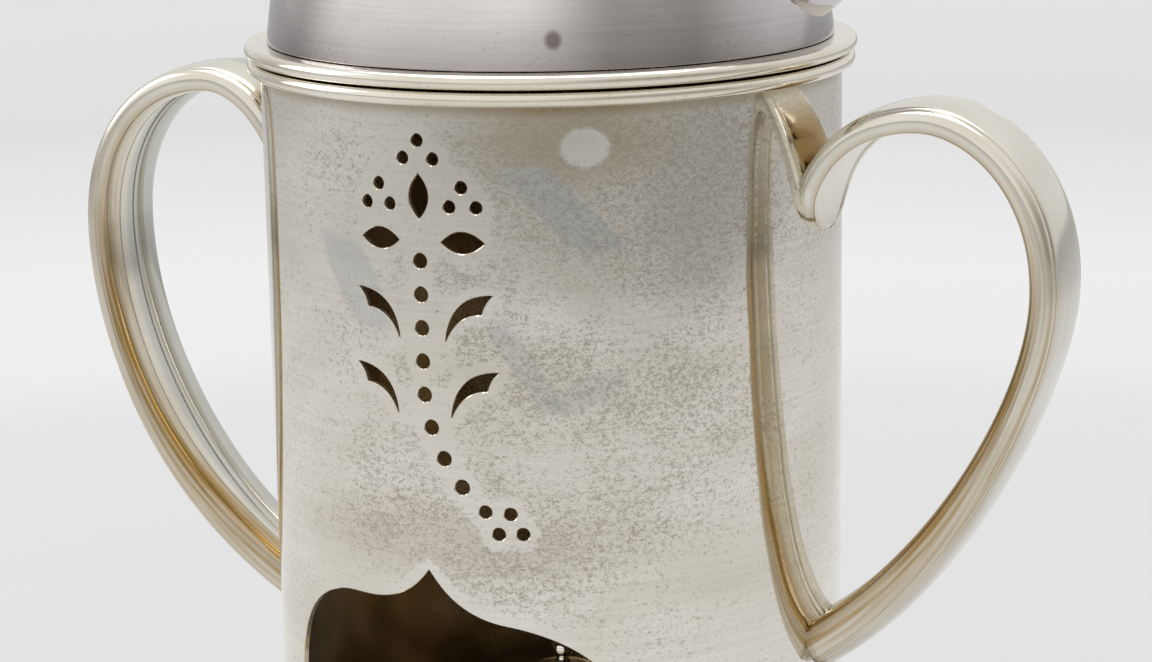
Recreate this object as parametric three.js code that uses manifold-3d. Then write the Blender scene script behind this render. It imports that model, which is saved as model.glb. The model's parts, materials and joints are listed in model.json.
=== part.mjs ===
// A silver tea kettle on its spirit-lamp stand. The stand is a straight pierced cylinder with an
// ogee-headed opening for the lamp and a pair of large strap handles. The kettle tapers upwards, drops
// into the stand's rim by a locating lip, and has a broad-rooted spout, a hinged lid and a swing handle.
// Millimetres, +Z up. The origin is the centre of the stand's foot on the table, -Y is the pierced
// front, and the two side handles lie along X.
import * as THREE from 'three';
import { mergeVertices } from 'three/addons/utils/BufferGeometryUtils.js';
import Module from 'manifold-3d';

const wasm = await Module();
wasm.setup();

// Driving dimensions of the stand
const standHeight = 178;        // table to the top of the rim, where the kettle rests
const standRadius = 60;         // outside of the pierced wall
const standWall = 1.2;          // gauge of that wall
const rimHeight = 3;            // half-round moulding round the top
const rimProud = 2.7;           // how far the rim stands out from the wall
const rimInset = 1.1;           // how far the rim reaches in past the wall, as a seat
const footHeight = 9.3;
const footProud = 4.6;
const floorDrop = 3.3;          // floor plate above the foot ring
const floorGauge = 1.2;

// Clearances
const solderGap = 0.3;          // between pieces that are soldered, screwed or rest on each other
const runningGap = 0.1;         // between a pin and the bore that turns on it
const liftGap = 0.4;            // round inner pieces that lift out by hand

// The opening for the lamp, cut in the front wall. Drops are measured down from the rim.
const archPeakDrop = 95;
const lampPassGap = 8.7;        // between the lamp and each side of the opening
const archShoulderLeft = 7.2;   // from the peak down to the shoulder, on the left and on the right
const archShoulderRight = 10.6;
const archSpring = 29;          // from the peak down to where the sides become upright
const archCorner = 6;

// The piercing above the opening
const topHoleDrop = 9.8;
const smallHole = 1.25;         // radii of the drilled holes
const stemHole = 1.5;
const tailHole = 1.3;
const leafLength = 8.9;
const leafWidth = 4.2;
const stemTopDrop = 33.2;
const stemPitch = 6.6;
const stemStraight = 22.8;      // length of the upright part of the stem, before it curls
const stemCurl = 34.5;          // radius of the curl
const stemHoles = 9;
const hornDrop = 39.4;          // top corner of the first pair of curved leaves
const hornPitch = 15.1;
const hornPairs = 2;

// The side handles. Each strap was bent by hand, so the two lines differ. They are lines of the strap's
// inner face: reaches are measured out from the wall, and drops down from the rim.
const tongueDrop = 33.6;        // tip of the tongue on the wall
const tongueThickness = 1.1;
const tongueLength = 9;         // its rounded tip
const handleReach = 46.6;       // both straps at their widest place
const widestDrop = 42.5;
const crestApproach = 8.4;      // length of the crest on the wall's side
const rightRiseDrop = 16.1;     // to here the strap climbs straight up the wall
const rightCrestReach = 23.1;
const rightCrestDrop = 11.3;
const rightCrestSweep = 9.6;    // length of the crest on its outer side
const rightShoulder = 20.8;     // length of the upright part above the widest place
const rightBelly = 20.9;        // length of the upright part below it
const rightTailReach = 26.8;    // the tail sets out from here towards the root
const rightTailDrop = 98.9;
const rightRootDrop = 117.8;
const leftRiseDrop = 21.1;
const leftCrestReach = 18.6;
const leftCrestDrop = 10.2;
const leftCrestSweep = 16.7;
const leftShoulder = 18.6;
const leftBelly = 28.1;
const leftTailReach = 31;
const leftTailDrop = 102.5;
const leftRootDrop = 120;
const rootSink = 2;             // how far the line runs on inside the wall's surface

// The strap's section: flat inside, upright sides, and a crowned back
const strapWidth = 20.3;
const strapTongueWidth = 21.1;
const strapRootWidth = 16.8;
const strapSide = 4.1;
const strapRootSide = 6.4;
const strapCrown = 0.9;
const strapRootCrown = 2;
const strapEase = 0.5;          // inner corners
const strapFillet = 1.1;        // outer corners

// The spirit lamp
const lampRadius = 28;
const lampHeight = 17;
const lampWall = 1;
const neckRadius = 12;
const wickTubeRadius = 6.5;
const wickTubeHeight = 6;
const capWall = 0.8;
const guideHeight = 2.5;
const guideWidth = 1.6;

// The kettle
const kettleTurn = 7.6;         // degrees from +X to the spout, because the kettle sits loose
const kettleSetIn = 1.5;        // from the stand's outside in to the kettle's wall at its foot
const kettleHeight = 84;        // height of the tapering wall
const kettleTaper = 7.5;        // degrees
const kettleWall = 1.1;
const flangeHeight = 3;
const flangeProud = 3.1;        // beyond the stand's wall
const lipDrop = 5;              // how far the base drops inside the stand
const baseGauge = 1.2;
const shoulderRise = 5.5;
const collarRadius = 30;        // outside of the neck that takes the lid
const collarHeight = 4;
const collarWall = 1.2;

// The lid and its finial
const lidOverhang = 1.8;
const lidDome = 9;
const lidGauge = 1;
const bezelDepth = 4;
const finialHeight = 15;
const finialRadius = 7;
const stemRadius = 2;
const nutRadius = 4;

// The swing handle over the kettle
const bailRise = 72;            // pivots to the middle of the grip
const bailBow = 13.5;           // how far each arm bows out beyond its lug
const lugSetIn = 3.9;           // edge of the kettle's top to the middle of each lug
const armWidth = 8;
const armThickness = 3.4;
const lugThickness = 3;
const pinRadius = 1.9;
const gripLength = 62;
const gripRadius = 7.2;
const ferruleLength = 7;

// The spout
const spoutRootWidth = 47;
const spoutMouthRadius = 7;
const spoutWall = 1;
const spoutReach = 43.8;        // kettle's wall to the middle of the mouth
const spoutLift = 1.5;          // top of the kettle's wall to the middle of the mouth
const spoutRootHeight = 50;
const waterWayRadius = 11;      // hole in the wall behind the spout

const wallSegments = 52;        // facets round the pierced wall
const ringSegments = 44;        // facets round the other large rings
const smallSegments = 16;       // facets round the small turned pieces

const silver = { color: 0xd2ccbd, roughness: 0.22, metalness: 1 };
const kettleSilver = { color: 0xc4c1c2, roughness: 0.2, metalness: 1 };
const innerSilver = { color: 0xa89c86, roughness: 0.35, metalness: 1 };
const ebonised = { color: 0x241a14, roughness: 0.35, metalness: 0 };
const cotton = { color: 0xe6dfcc, roughness: 0.95, metalness: 0 };

const degrees = Math.PI / 180;
const wholeTurn = 2 * Math.PI;

// Makes a closed geometry into a solid that can be joined and cut: corners merged, faces outwards.
function solid(geometry) {
  geometry.deleteAttribute('normal');
  geometry.deleteAttribute('uv');
  const merged = mergeVertices(geometry, 1e-4);
  const corners = merged.attributes.position;
  const point = (i) => new THREE.Vector3().fromBufferAttribute(corners, i);
  const triangles = [];
  let volume = 0;
  for (let i = 0; i < merged.index.count; i += 3) {
    const [a, b, c] = [0, 1, 2].map((k) => merged.index.getX(i + k));
    if (a !== b && b !== c && c !== a) {
      triangles.push(a, b, c);
      volume += point(a).dot(point(b).cross(point(c)));
    }
  }
  if (volume < 0) triangles.reverse();
  const vertProperties = new Float32Array(corners.array);
  return new wasm.Manifold(new wasm.Mesh({ numProp: 3, vertProperties, triVerts: new Uint32Array(triangles) }));
}

function geometryOf(manifold) {
  const { vertProperties, triVerts, numProp } = manifold.getMesh();
  const geometry = new THREE.BufferGeometry();
  geometry.setAttribute('position', new THREE.BufferAttribute(vertProperties, numProp));
  geometry.setIndex(new THREE.BufferAttribute(triVerts, 1));
  geometry.computeVertexNormals();
  return geometry;
}

// Revolves a profile of [radius, height] pairs about Z. It starts and ends on the axis, or closes.
function turned(profile, segments = ringSegments) {
  const points = profile.map(([radius, height]) => new THREE.Vector2(radius, height));
  return solid(new THREE.LatheGeometry(points, segments).rotateX(Math.PI / 2));
}

function ring(profile, segments = ringSegments) {
  return turned([...profile, profile[0]], segments);
}

// Points of a round stretch of a profile, from one angle to another, in degrees.
function arc(radius, height, size, from, to, steps = 4) {
  return Array.from({ length: steps + 1 }, (_, i) => {
    const angle = (from + ((to - from) * i) / steps) * degrees;
    return [radius + size * Math.cos(angle), height + size * Math.sin(angle)];
  });
}

// Skins a row of closed sections with the same number of points. A loop joins the last to the first.
function lofted(sections, loop = false) {
  const count = sections[0].length;
  const corners = sections.flat();
  const triangles = [];
  const spans = loop ? sections.length : sections.length - 1;
  for (let i = 0; i < spans; i += 1) {
    const here = i * count;
    const next = ((i + 1) % sections.length) * count;
    for (let k = 0; k < count; k += 1) {
      const l = (k + 1) % count;
      triangles.push(here + k, here + l, next + l, here + k, next + l, next + k);
    }
  }
  const cap = (start, backwards) => {
    const middle = corners.length;
    const sum = new THREE.Vector3();
    corners.slice(start, start + count).forEach((corner) => sum.add(corner));
    corners.push(sum.divideScalar(count));
    for (let k = 0; k < count; k += 1) {
      const pair = [start + k, start + ((k + 1) % count)];
      if (backwards) pair.reverse();
      triangles.push(middle, ...pair);
    }
  };
  if (!loop) {
    cap(0, true);
    cap((sections.length - 1) * count, false);
  }
  const geometry = new THREE.BufferGeometry().setFromPoints(corners);
  geometry.setIndex(triangles);
  return solid(geometry);
}

// A plate of a flat outline, with its thickness along +Z from the height given.
function plate(shape, thickness, height = 0, curveSegments = 12) {
  const geometry = new THREE.ExtrudeGeometry(shape, { depth: thickness, bevelEnabled: false, curveSegments });
  return solid(geometry.translate(0, 0, height));
}

// A round bar along X, from one place to another.
function barAlongX(radius, from, to, height, segments = smallSegments) {
  const bar = new THREE.CylinderGeometry(radius, radius, to - from, segments).rotateZ(Math.PI / 2);
  return solid(bar.translate((from + to) / 2, 0, height));
}

// A value that runs smoothly through its stations, each written as [progress, value].
function graded(stations, progress) {
  let i = 0;
  while (i < stations.length - 2 && progress > stations[i + 1][0]) i += 1;
  const [start, low] = stations[i];
  const [end, high] = stations[i + 1];
  const share = THREE.MathUtils.smoothstep(progress, start, end);
  return low + (high - low) * share;
}

const product = new THREE.Group();
const standGroup = new THREE.Group();
const kettleGroup = new THREE.Group();
kettleGroup.rotation.z = kettleTurn * degrees;
product.add(standGroup, kettleGroup);

function add(group, name, manifold, finish) {
  const mesh = new THREE.Mesh(geometryOf(manifold), new THREE.MeshStandardMaterial(finish));
  mesh.name = name;
  group.add(mesh);
}

// Levels that several pieces share
const rimBottom = standHeight - rimHeight;
const wallTop = rimBottom - solderGap;
const wallBottom = footHeight + solderGap;
const floorTop = footHeight + floorDrop;
const wallInside = standRadius - standWall;
const rimInside = wallInside - rimInset;
const lampBottom = floorTop + solderGap;
const archHalfWidth = standRadius * Math.asin((lampRadius + lampPassGap) / standRadius);

// A pointed oval with its long side across or upright.
function leaf(across, down, upright) {
  const long = leafLength / 2;
  const turn = ([x, z]) => (upright ? [across - z, x - down] : [across + x, z - down]);
  const shape = new THREE.Shape();
  shape.moveTo(...turn([-long, 0]));
  shape.quadraticCurveTo(...turn([0, -leafWidth]), ...turn([long, 0]));
  shape.quadraticCurveTo(...turn([0, leafWidth]), ...turn([-long, 0]));
  return shape;
}

// A curved leaf that springs from the stem and ends in a broad cut-off tip. Side is 1 or -1.
function horn(side, down, spread) {
  const at = (across, drop) => [side * (across + spread), -down - drop];
  const shape = new THREE.Shape();
  shape.moveTo(...at(14.8, 0));
  shape.quadraticCurveTo(...at(5.6, 0.2), ...at(4.9, 9.6));
  shape.quadraticCurveTo(...at(7.2, 3.8), ...at(12.4, 3.8));
  shape.quadraticCurveTo(...at(12.8, 1.6), ...at(14.8, 0));
  return shape;
}

function hole(across, down, radius) {
  const shape = new THREE.Shape();
  shape.absarc(across, -down, radius, 0, wholeTurn);
  return shape;
}

// The flower on its stem, as outlines laid flat: x is measured round the wall, y up from the rim.
function flowerOutlines() {
  const shapes = [hole(0, topHoleDrop, smallHole), leaf(0, topHoleDrop + 10.8, true)];
  for (const side of [-1, 1]) {
    shapes.push(hole(side * 3.2, topHoleDrop + 3.5, smallHole));
    shapes.push(hole(side * 8.9, topHoleDrop + 8.8, smallHole));
    shapes.push(hole(side * 6.4, topHoleDrop + 12.6, smallHole));
    shapes.push(hole(side * 11.8, topHoleDrop + 12.6, smallHole));
    shapes.push(leaf(side * 8.9, topHoleDrop + 19.5, false));
    for (let pair = 0; pair < hornPairs; pair += 1) {
      shapes.push(horn(side, hornDrop + pair * hornPitch, pair * 0.8));
    }
  }
  let across = 0;
  let down = 0;
  for (let i = 0; i < stemHoles; i += 1) {
    const along = i * stemPitch;
    const bend = Math.max(0, along - stemStraight) / stemCurl;
    across = stemCurl * (1 - Math.cos(bend));
    down = stemTopDrop + Math.min(along, stemStraight) + stemCurl * Math.sin(bend);
    shapes.push(hole(across, down, i < stemHoles - 1 ? stemHole : tailHole));
  }
  for (const [right, lower] of [[5, 0.3], [2.6, 4.4], [7.4, 4.3]]) {
    shapes.push(hole(across + right, down + lower, tailHole));
  }
  return shapes;
}

// The opening's outline, laid flat in the same way. The hand-cut head falls lower on its right side.
function archOutline() {
  const peak = -archPeakDrop;
  const spring = peak - archSpring;
  const sill = floorTop - standHeight;
  const left = peak - archShoulderLeft;
  const right = peak - archShoulderRight;
  const shape = new THREE.Shape();
  shape.moveTo(0, peak);
  shape.bezierCurveTo(-3.2, peak - 4.2, -7, left, -15, left);
  shape.lineTo(-18, left);
  shape.bezierCurveTo(-29, left, -archHalfWidth + 1, left - 7.8, -archHalfWidth, spring);
  shape.lineTo(-archHalfWidth, sill + archCorner);
  shape.quadraticCurveTo(-archHalfWidth, sill, -archHalfWidth + archCorner, sill);
  shape.lineTo(archHalfWidth - archCorner, sill);
  shape.quadraticCurveTo(archHalfWidth, sill, archHalfWidth, sill + archCorner);
  shape.lineTo(archHalfWidth, spring - 3);
  shape.bezierCurveTo(archHalfWidth, right - 9.4, 28, right - 2, 16, right);
  shape.bezierCurveTo(7, right + 1.6, 3, peak - 4.4, 0, peak);
  return shape;
}

// Bends flat outlines round the wall and runs them through it as a cutter.
function wallCutter(shapes, curveSegments) {
  const geometry = new THREE.ExtrudeGeometry(shapes, { depth: 1, bevelEnabled: false, curveSegments });
  const corners = geometry.attributes.position;
  for (let i = 0; i < corners.count; i += 1) {
    const angle = corners.getX(i) / standRadius;
    const reach = standRadius * (0.4 + 1.2 * corners.getZ(i));
    corners.setXYZ(i, reach * Math.sin(angle), -reach * Math.cos(angle), standHeight + corners.getY(i));
  }
  return solid(geometry);
}

function standBody() {
  const wall = ring([
    [wallInside, wallBottom],
    [standRadius, wallBottom],
    [standRadius, wallTop],
    [wallInside, wallTop],
  ], wallSegments);
  return wall
    .subtract(wallCutter([archOutline()], 7))
    .subtract(wallCutter(flowerOutlines(), 4));
}

function halfRoundRing(inside, outside, bottom, height) {
  const size = height / 2;
  return ring([
    [inside, bottom],
    ...arc(outside - size, bottom + size, size, -90, 90),
    [inside, bottom + height],
  ]);
}

function footRing() {
  const outside = standRadius + footProud;
  const inside = wallInside - solderGap - floorGauge;
  return ring([
    [inside, 0],
    [outside - 1.2, 0],
    [outside, 1.2],
    [outside - 0.4, 3.2],
    ...arc(outside - 0.6, footHeight - 2.1, 2.6, 225, 170, 2),
    [standRadius + 0.6, footHeight],
    [inside, footHeight],
  ]);
}

function standFloor() {
  const outside = wallInside - solderGap;
  return turned([
    [0, floorTop - floorGauge],
    [outside - floorGauge, floorTop - floorGauge],
    [outside - floorGauge, wallBottom],
    [outside, wallBottom],
    [outside, floorTop],
    [0, floorTop],
  ]);
}

// A low fence on the floor, open at the front, that centres the lamp.
function lampGuide() {
  const inside = lampRadius + 0.6;
  const outside = inside + guideWidth;
  const shape = new THREE.Shape();
  shape.moveTo(outside, -10);
  shape.absarc(0, 0, outside, 0, Math.PI);
  shape.lineTo(-outside, -10);
  shape.lineTo(-inside, -10);
  shape.absarc(0, 0, inside, Math.PI, 0, true);
  shape.lineTo(inside, -10);
  shape.closePath();
  return plate(shape, guideHeight, lampBottom, 14);
}

// The strap's inner face seen from the front: up from the tongue, over the crest, down to the lower root.
function handleLine({ rise, crest, sweep, shoulder, belly, tail, root }) {
  const at = (across, down) => new THREE.Vector3(standRadius + across, 0, standHeight - down);
  const tip = solderGap + tongueThickness;
  const [crestReach, crestDrop] = crest;
  return [
    new THREE.CubicBezierCurve3(at(tip, tongueDrop), at(tip, rise),
      at(crestReach - crestApproach, crestDrop), at(crestReach, crestDrop)),
    new THREE.CubicBezierCurve3(at(crestReach, crestDrop), at(crestReach + sweep, crestDrop),
      at(handleReach, widestDrop - shoulder), at(handleReach, widestDrop)),
    new THREE.CubicBezierCurve3(at(handleReach, widestDrop), at(handleReach, widestDrop + belly),
      at(...tail), at(-rootSink, root)),
  ];
}

const rightLine = {
  rise: rightRiseDrop,
  crest: [rightCrestReach, rightCrestDrop],
  sweep: rightCrestSweep,
  shoulder: rightShoulder,
  belly: rightBelly,
  tail: [rightTailReach, rightTailDrop],
  root: rightRootDrop,
};

const leftLine = {
  rise: leftRiseDrop,
  crest: [leftCrestReach, leftCrestDrop],
  sweep: leftCrestSweep,
  shoulder: leftShoulder,
  belly: leftBelly,
  tail: [leftTailReach, leftTailDrop],
  root: leftRootDrop,
};

// One strap handle, on the +X side. Its section is flat inside, with upright sides and a crowned back,
// and its upper end thins into a round tongue that lies on the wall.
function strapHandle(line) {
  const steps = [9, 8, 7];
  const stations = [];
  handleLine(line).forEach((curve, part) => {
    for (let i = part ? 1 : 0; i <= steps[part]; i += 1) {
      const share = i / steps[part];
      stations.push({ progress: (part + share) / 3, place: curve.getPoint(share), along: curve.getTangent(share) });
    }
  });
  const widths = [[0, strapTongueWidth], [0.33, strapWidth], [0.8, strapWidth], [1, strapRootWidth]];
  const sides = [[0, strapSide], [0.75, strapSide], [1, strapRootSide]];
  const crowns = [[0, strapCrown], [0.75, strapCrown], [1, strapRootCrown]];
  const sections = stations.map(({ progress, place, along }) => {
    const outward = new THREE.Vector3(-along.z, 0, along.x);
    const rise = place.z - (standHeight - tongueDrop);
    const round = progress < 0.33 ? Math.min(1, rise / tongueLength) : 1;
    const half = (graded(widths, progress) / 2) * Math.sqrt(Math.max(0.02, 1 - (1 - round) ** 2));
    const side = graded(sides, progress);
    const crown = graded(crowns, progress);
    const hug = Math.max(0, 1 - progress / 0.25);
    const ease = Math.min(strapEase, half * 0.2);
    const fillet = Math.min(strapFillet, half * 0.2);
    const section = [
      [-half + ease, 0], [0, 0], [half - ease, 0],
      [half, ease], [half, side - fillet], [half - fillet, side],
      [half * 0.68, side + crown * 0.54], [half * 0.3, side + crown * 0.92],
      [-half * 0.3, side + crown * 0.92], [-half * 0.68, side + crown * 0.54],
      [-half + fillet, side], [-half, side - fillet], [-half, ease],
    ];
    return section.map(([across, out]) => {
      const curl = standRadius - Math.sqrt(standRadius ** 2 - across ** 2);
      const corner = place.clone().addScaledVector(outward, out + curl * hug);
      corner.y += across;
      return corner;
    });
  });
  const wallSpace = turned([
    [0, 0],
    [standRadius + solderGap, 0],
    [standRadius + solderGap, standHeight],
    [0, standHeight],
  ], wallSegments);
  return lofted(sections).subtract(wallSpace);
}

function turnedAbout(manifold, angle) {
  return manifold.rotate([0, 0, angle]);
}

add(standGroup, 'stand_body', standBody(), silver);
add(standGroup, 'stand_rim', halfRoundRing(rimInside, standRadius + rimProud, rimBottom, rimHeight), silver);
add(standGroup, 'foot_ring', footRing(), silver);
add(standGroup, 'stand_floor', standFloor(), innerSilver);
add(standGroup, 'handle_right', strapHandle(rightLine), silver);
add(standGroup, 'handle_left', turnedAbout(strapHandle(leftLine), 180), silver);
add(standGroup, 'lamp_guide', lampGuide(), innerSilver);

// The lamp: a squat font, a wick holder that lifts out of its neck, and a cap that puts the flame out.
const fontTop = lampBottom + lampHeight;
const holderTop = fontTop + 1 + wickTubeHeight;

function lampFont() {
  const outer = [
    [lampRadius - 4, lampBottom],
    ...arc(lampRadius - 4, lampBottom + 4, 4, -45, 0, 1),
    ...arc(lampRadius - 6, fontTop - 9, 6, 0, 70, 2),
    [neckRadius + lampWall + 2, fontTop - 2],
    [neckRadius + lampWall, fontTop - 1.4],
    [neckRadius + lampWall, fontTop],
  ];
  const inner = [
    [neckRadius, fontTop],
    [neckRadius, fontTop - 2.6],
    ...arc(lampRadius - 6, fontTop - 9, 6 - lampWall, 75, 0, 2),
    ...arc(lampRadius - 4, lampBottom + 4, 4 - lampWall, 0, -90, 1),
    [0, lampBottom + lampWall],
  ];
  return turned([[0, lampBottom], ...outer, ...inner], 24);
}

function wickHolder() {
  const seat = fontTop + solderGap;
  const flange = neckRadius + lampWall + 0.4;
  return ring([
    [wickTubeRadius - 0.8, fontTop - 4],
    [neckRadius - liftGap, fontTop - 4],
    [neckRadius - liftGap, seat],
    [flange, seat],
    [flange, seat + 0.8],
    [wickTubeRadius, seat + 0.8],
    [wickTubeRadius, holderTop],
    [wickTubeRadius - 0.8, holderTop],
  ], smallSegments);
}

function wick() {
  const outside = wickTubeRadius - 0.8 - solderGap;
  return turned([
    [0, lampBottom + 3],
    [outside - 1, lampBottom + 3],
    [outside, fontTop - 4],
    [outside, holderTop + 0.6],
    [outside - 1, holderTop + 1.4],
    [0, holderTop + 1.6],
  ], smallSegments);
}

const capInside = wickTubeRadius + 0.8;
const capBottom = fontTop + solderGap + 0.8 + solderGap;
const capCrown = holderTop + 8;

function snufferCap() {
  return turned([
    [0, capCrown - capWall],
    [capInside * 0.6, capCrown - capWall - 0.5],
    [capInside, capCrown - capWall - 2.4],
    [capInside, capBottom],
    [capInside + capWall + 0.7, capBottom],
    [capInside + capWall + 0.7, capBottom + 0.9],
    [capInside + capWall, capBottom + 1.2],
    [capInside + capWall, capCrown - 2.4],
    [capInside * 0.6, capCrown - 0.3],
    [0, capCrown],
  ], smallSegments);
}

function snufferKnob() {
  const base = capCrown + solderGap;
  return turned([
    [0, base],
    [2, base],
    [1.3, base + 1.1],
    ...arc(0, base + 3, 2.4, -50, 80, 3),
    [0, base + 5.4],
  ], 12);
}

add(standGroup, 'lamp_font', lampFont(), innerSilver);
add(standGroup, 'wick_holder', wickHolder(), innerSilver);
add(standGroup, 'wick', wick(), cotton);
add(standGroup, 'snuffer_cap', snufferCap(), silver);
add(standGroup, 'snuffer_knob', snufferKnob(), silver);

// The kettle, in its own frame with the spout along +X.
const flangeBottom = standHeight + solderGap;
const kettleFoot = flangeBottom + flangeHeight + solderGap;
const kettleTop = kettleFoot + kettleHeight;
const kettleRadius = standRadius - kettleSetIn;
const slope = Math.tan(kettleTaper * degrees);
const wallRadius = (height) => kettleRadius - (height - kettleFoot) * slope;
const topRadius = wallRadius(kettleTop);
const baseBottom = flangeBottom - lipDrop;
const baseRim = kettleFoot + 4;
const baseRadius = Math.min(rimInside - 0.8, wallRadius(baseRim) - kettleWall - solderGap);
const shoulderBottom = kettleTop + solderGap;
const collarBottom = shoulderBottom + shoulderRise;
const collarTop = collarBottom + collarHeight;

function kettleFlange() {
  return halfRoundRing(baseRadius + solderGap, standRadius + flangeProud, flangeBottom, flangeHeight);
}

// A shallow pan let into the wall, which drops inside the stand's rim and centres the kettle.
function kettleBase() {
  const outside = baseRadius;
  return turned([
    [0, baseBottom + 1.2],
    [outside - 7, baseBottom],
    [outside - 1.2, baseBottom],
    [outside, baseBottom + 1.2],
    [outside, baseRim],
    [outside - baseGauge, baseRim],
    [outside - baseGauge, baseBottom + baseGauge],
    [0, baseBottom + 1.2 + baseGauge],
  ]);
}

// The spout's root covers the wall from just above the flange.
const rootMiddle = kettleFoot - 0.6 + spoutRootHeight / 2;

function kettleWallShell() {
  const shell = ring([
    [wallRadius(kettleFoot) - kettleWall, kettleFoot],
    [wallRadius(kettleFoot) - 0.5, kettleFoot],
    [wallRadius(kettleFoot + 0.6), kettleFoot + 0.6],
    [topRadius, kettleTop],
    [topRadius - kettleWall, kettleTop],
  ]);
  const waterWay = barAlongX(waterWayRadius, topRadius - 20, kettleRadius + 10, rootMiddle);
  return shell.subtract(waterWay);
}

// The top of the shoulder in profile: a bead at the edge, then a low dome up to the neck.
function shoulderLine(clearance) {
  const bead = topRadius + 0.9;
  const start = topRadius - 3;
  const run = start - collarRadius - 1.6;
  return [
    [bead + clearance, shoulderBottom + 1.1],
    [bead - 0.7 + clearance, shoulderBottom + 2.3 + clearance],
    [start, shoulderBottom + 1.6 + clearance],
    ...[0.5, 1].map((share) => [
      start - run * share,
      shoulderBottom + 1.6 + (shoulderRise - 1.2) * Math.sin(share * 80 * degrees) + clearance,
    ]),
    [collarRadius + clearance, collarBottom + 1.1 + clearance],
    [collarRadius + clearance, collarTop],
  ];
}

function kettleShoulder() {
  return ring([
    [collarRadius - collarWall, collarBottom - 0.4],
    [topRadius - kettleWall, shoulderBottom],
    [topRadius + 0.2, shoulderBottom],
    ...shoulderLine(0),
    [collarRadius - collarWall, collarTop],
  ]);
}

// The room that the shoulder takes up, cut out of whatever is soldered on to it.
function shoulderSpace() {
  return turned([
    [0, shoulderBottom - 2],
    [topRadius + 2, shoulderBottom - 2],
    ...shoulderLine(solderGap),
    [0, collarTop],
  ]);
}

// The spout's sections, from inside the kettle out to the mouth. Each station gives how far the section has
// got outwards and upwards, how far its width has shrunk towards the mouth, and its tilt from upright.
function spoutSections(inset) {
  const start = wallRadius(rootMiddle);
  const rise = kettleTop + spoutLift - rootMiddle;
  const stations = [
    { out: -0.25, up: 0, slim: -0.04, tilt: -8 },
    { out: 0, up: 0.01, slim: 0.03, tilt: -8 },
    { out: 0.16, up: 0.08, slim: 0.27, tilt: 2 },
    { out: 0.34, up: 0.22, slim: 0.55, tilt: 20 },
    { out: 0.54, up: 0.42, slim: 0.78, tilt: 36 },
    { out: 0.75, up: 0.655, slim: 0.91, tilt: 42 },
    { out: 1, up: 1, slim: 1, tilt: 34 },
  ];
  const shrink = (size, slim) => size + (spoutMouthRadius - size) * slim;
  const keys = stations.map(({ out, up, slim, tilt }) => ({
    x: start + spoutReach * out,
    z: rootMiddle + rise * up,
    wide: shrink(spoutRootWidth / 2, slim),
    tall: shrink(spoutRootHeight / 2, slim),
    tilt,
  }));
  const count = 14;
  const spline = (name) => new THREE.SplineCurve(keys.map((key, i) => new THREE.Vector2(i, key[name])));
  const lines = { x: spline('x'), z: spline('z'), wide: spline('wide'), tall: spline('tall'), tilt: spline('tilt') };
  const steps = 9;
  return Array.from({ length: steps + 1 }, (_, i) => {
    const value = (name) => lines[name].getPoint(i / steps).y;
    const tilt = value('tilt') * degrees;
    return Array.from({ length: count }, (__, k) => {
      const angle = (wholeTurn * k) / count;
      const up = (value('tall') - inset) * Math.sin(angle);
      const across = (value('wide') - inset) * Math.cos(angle);
      return new THREE.Vector3(value('x') - up * Math.sin(tilt), across, value('z') + up * Math.cos(tilt));
    });
  });
}

function spout() {
  const outside = spoutSections(0);
  const inside = spoutSections(spoutWall).reverse();
  const kettleSpace = turned([
    [0, kettleFoot - 10],
    [wallRadius(kettleFoot - 10) + solderGap, kettleFoot - 10],
    [wallRadius(kettleTop + 10) + solderGap, kettleTop + 10],
    [0, kettleTop + 10],
  ]);
  const flangeSpace = turned([
    [0, flangeBottom - 5],
    [standRadius + flangeProud + 5, flangeBottom - 5],
    [standRadius + flangeProud + 5, kettleFoot],
    [0, kettleFoot],
  ]);
  return lofted([...outside, ...inside], true).subtract(kettleSpace).subtract(flangeSpace);
}

add(kettleGroup, 'kettle_flange', kettleFlange(), silver);
add(kettleGroup, 'kettle_base', kettleBase(), kettleSilver);
add(kettleGroup, 'kettle_wall', kettleWallShell(), kettleSilver);
add(kettleGroup, 'kettle_shoulder', kettleShoulder(), kettleSilver);
add(kettleGroup, 'spout', spout(), kettleSilver);

// The lid, hinged at the side of the neck.
const lidBottom = collarTop + solderGap;
const lidRadius = collarRadius + lidOverhang;
const bezelRadius = collarRadius - collarWall - liftGap;
const lidCrown = lidBottom + 1.4 + lidDome;
const stemHoleRadius = stemRadius + solderGap;

// The top of the lid in profile, from the edge in to the hole for the finial's stem.
function lidLine(clearance) {
  const flat = nutRadius + 1.2;
  const run = lidRadius - 2 - flat;
  return [
    [lidRadius + clearance, lidBottom + 1 + clearance],
    ...[1, 0.7, 0.35, 0].map((share) => [
      flat + run * share + clearance * share,
      lidBottom + 1.4 + lidDome * Math.cos(share * 90 * degrees) + clearance,
    ]),
  ];
}

function lidShell() {
  const inside = lidLine(0).slice(2).map(([radius, height]) => [radius - 0.4, height - lidGauge]);
  return ring([
    [stemHoleRadius, lidCrown - lidGauge],
    ...inside.reverse(),
    [bezelRadius - 1, lidBottom + lidGauge],
    [bezelRadius - 1, lidBottom - bezelDepth],
    [bezelRadius, lidBottom - bezelDepth],
    [bezelRadius, lidBottom],
    [lidRadius, lidBottom],
    ...lidLine(0),
    [stemHoleRadius, lidCrown],
  ], 32);
}

function finialStem() {
  const bottom = lidCrown - lidGauge - 3;
  return turned([
    [0, bottom],
    [stemRadius, bottom],
    [stemRadius, lidCrown + solderGap],
    [stemRadius + 2, lidCrown + solderGap],
    [stemRadius + 2, lidCrown + solderGap + 1],
    [stemRadius - 0.4, lidCrown + solderGap + 1.4],
    [stemRadius - 0.4, lidCrown + finialHeight],
    [0, lidCrown + finialHeight],
  ], 12);
}

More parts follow.
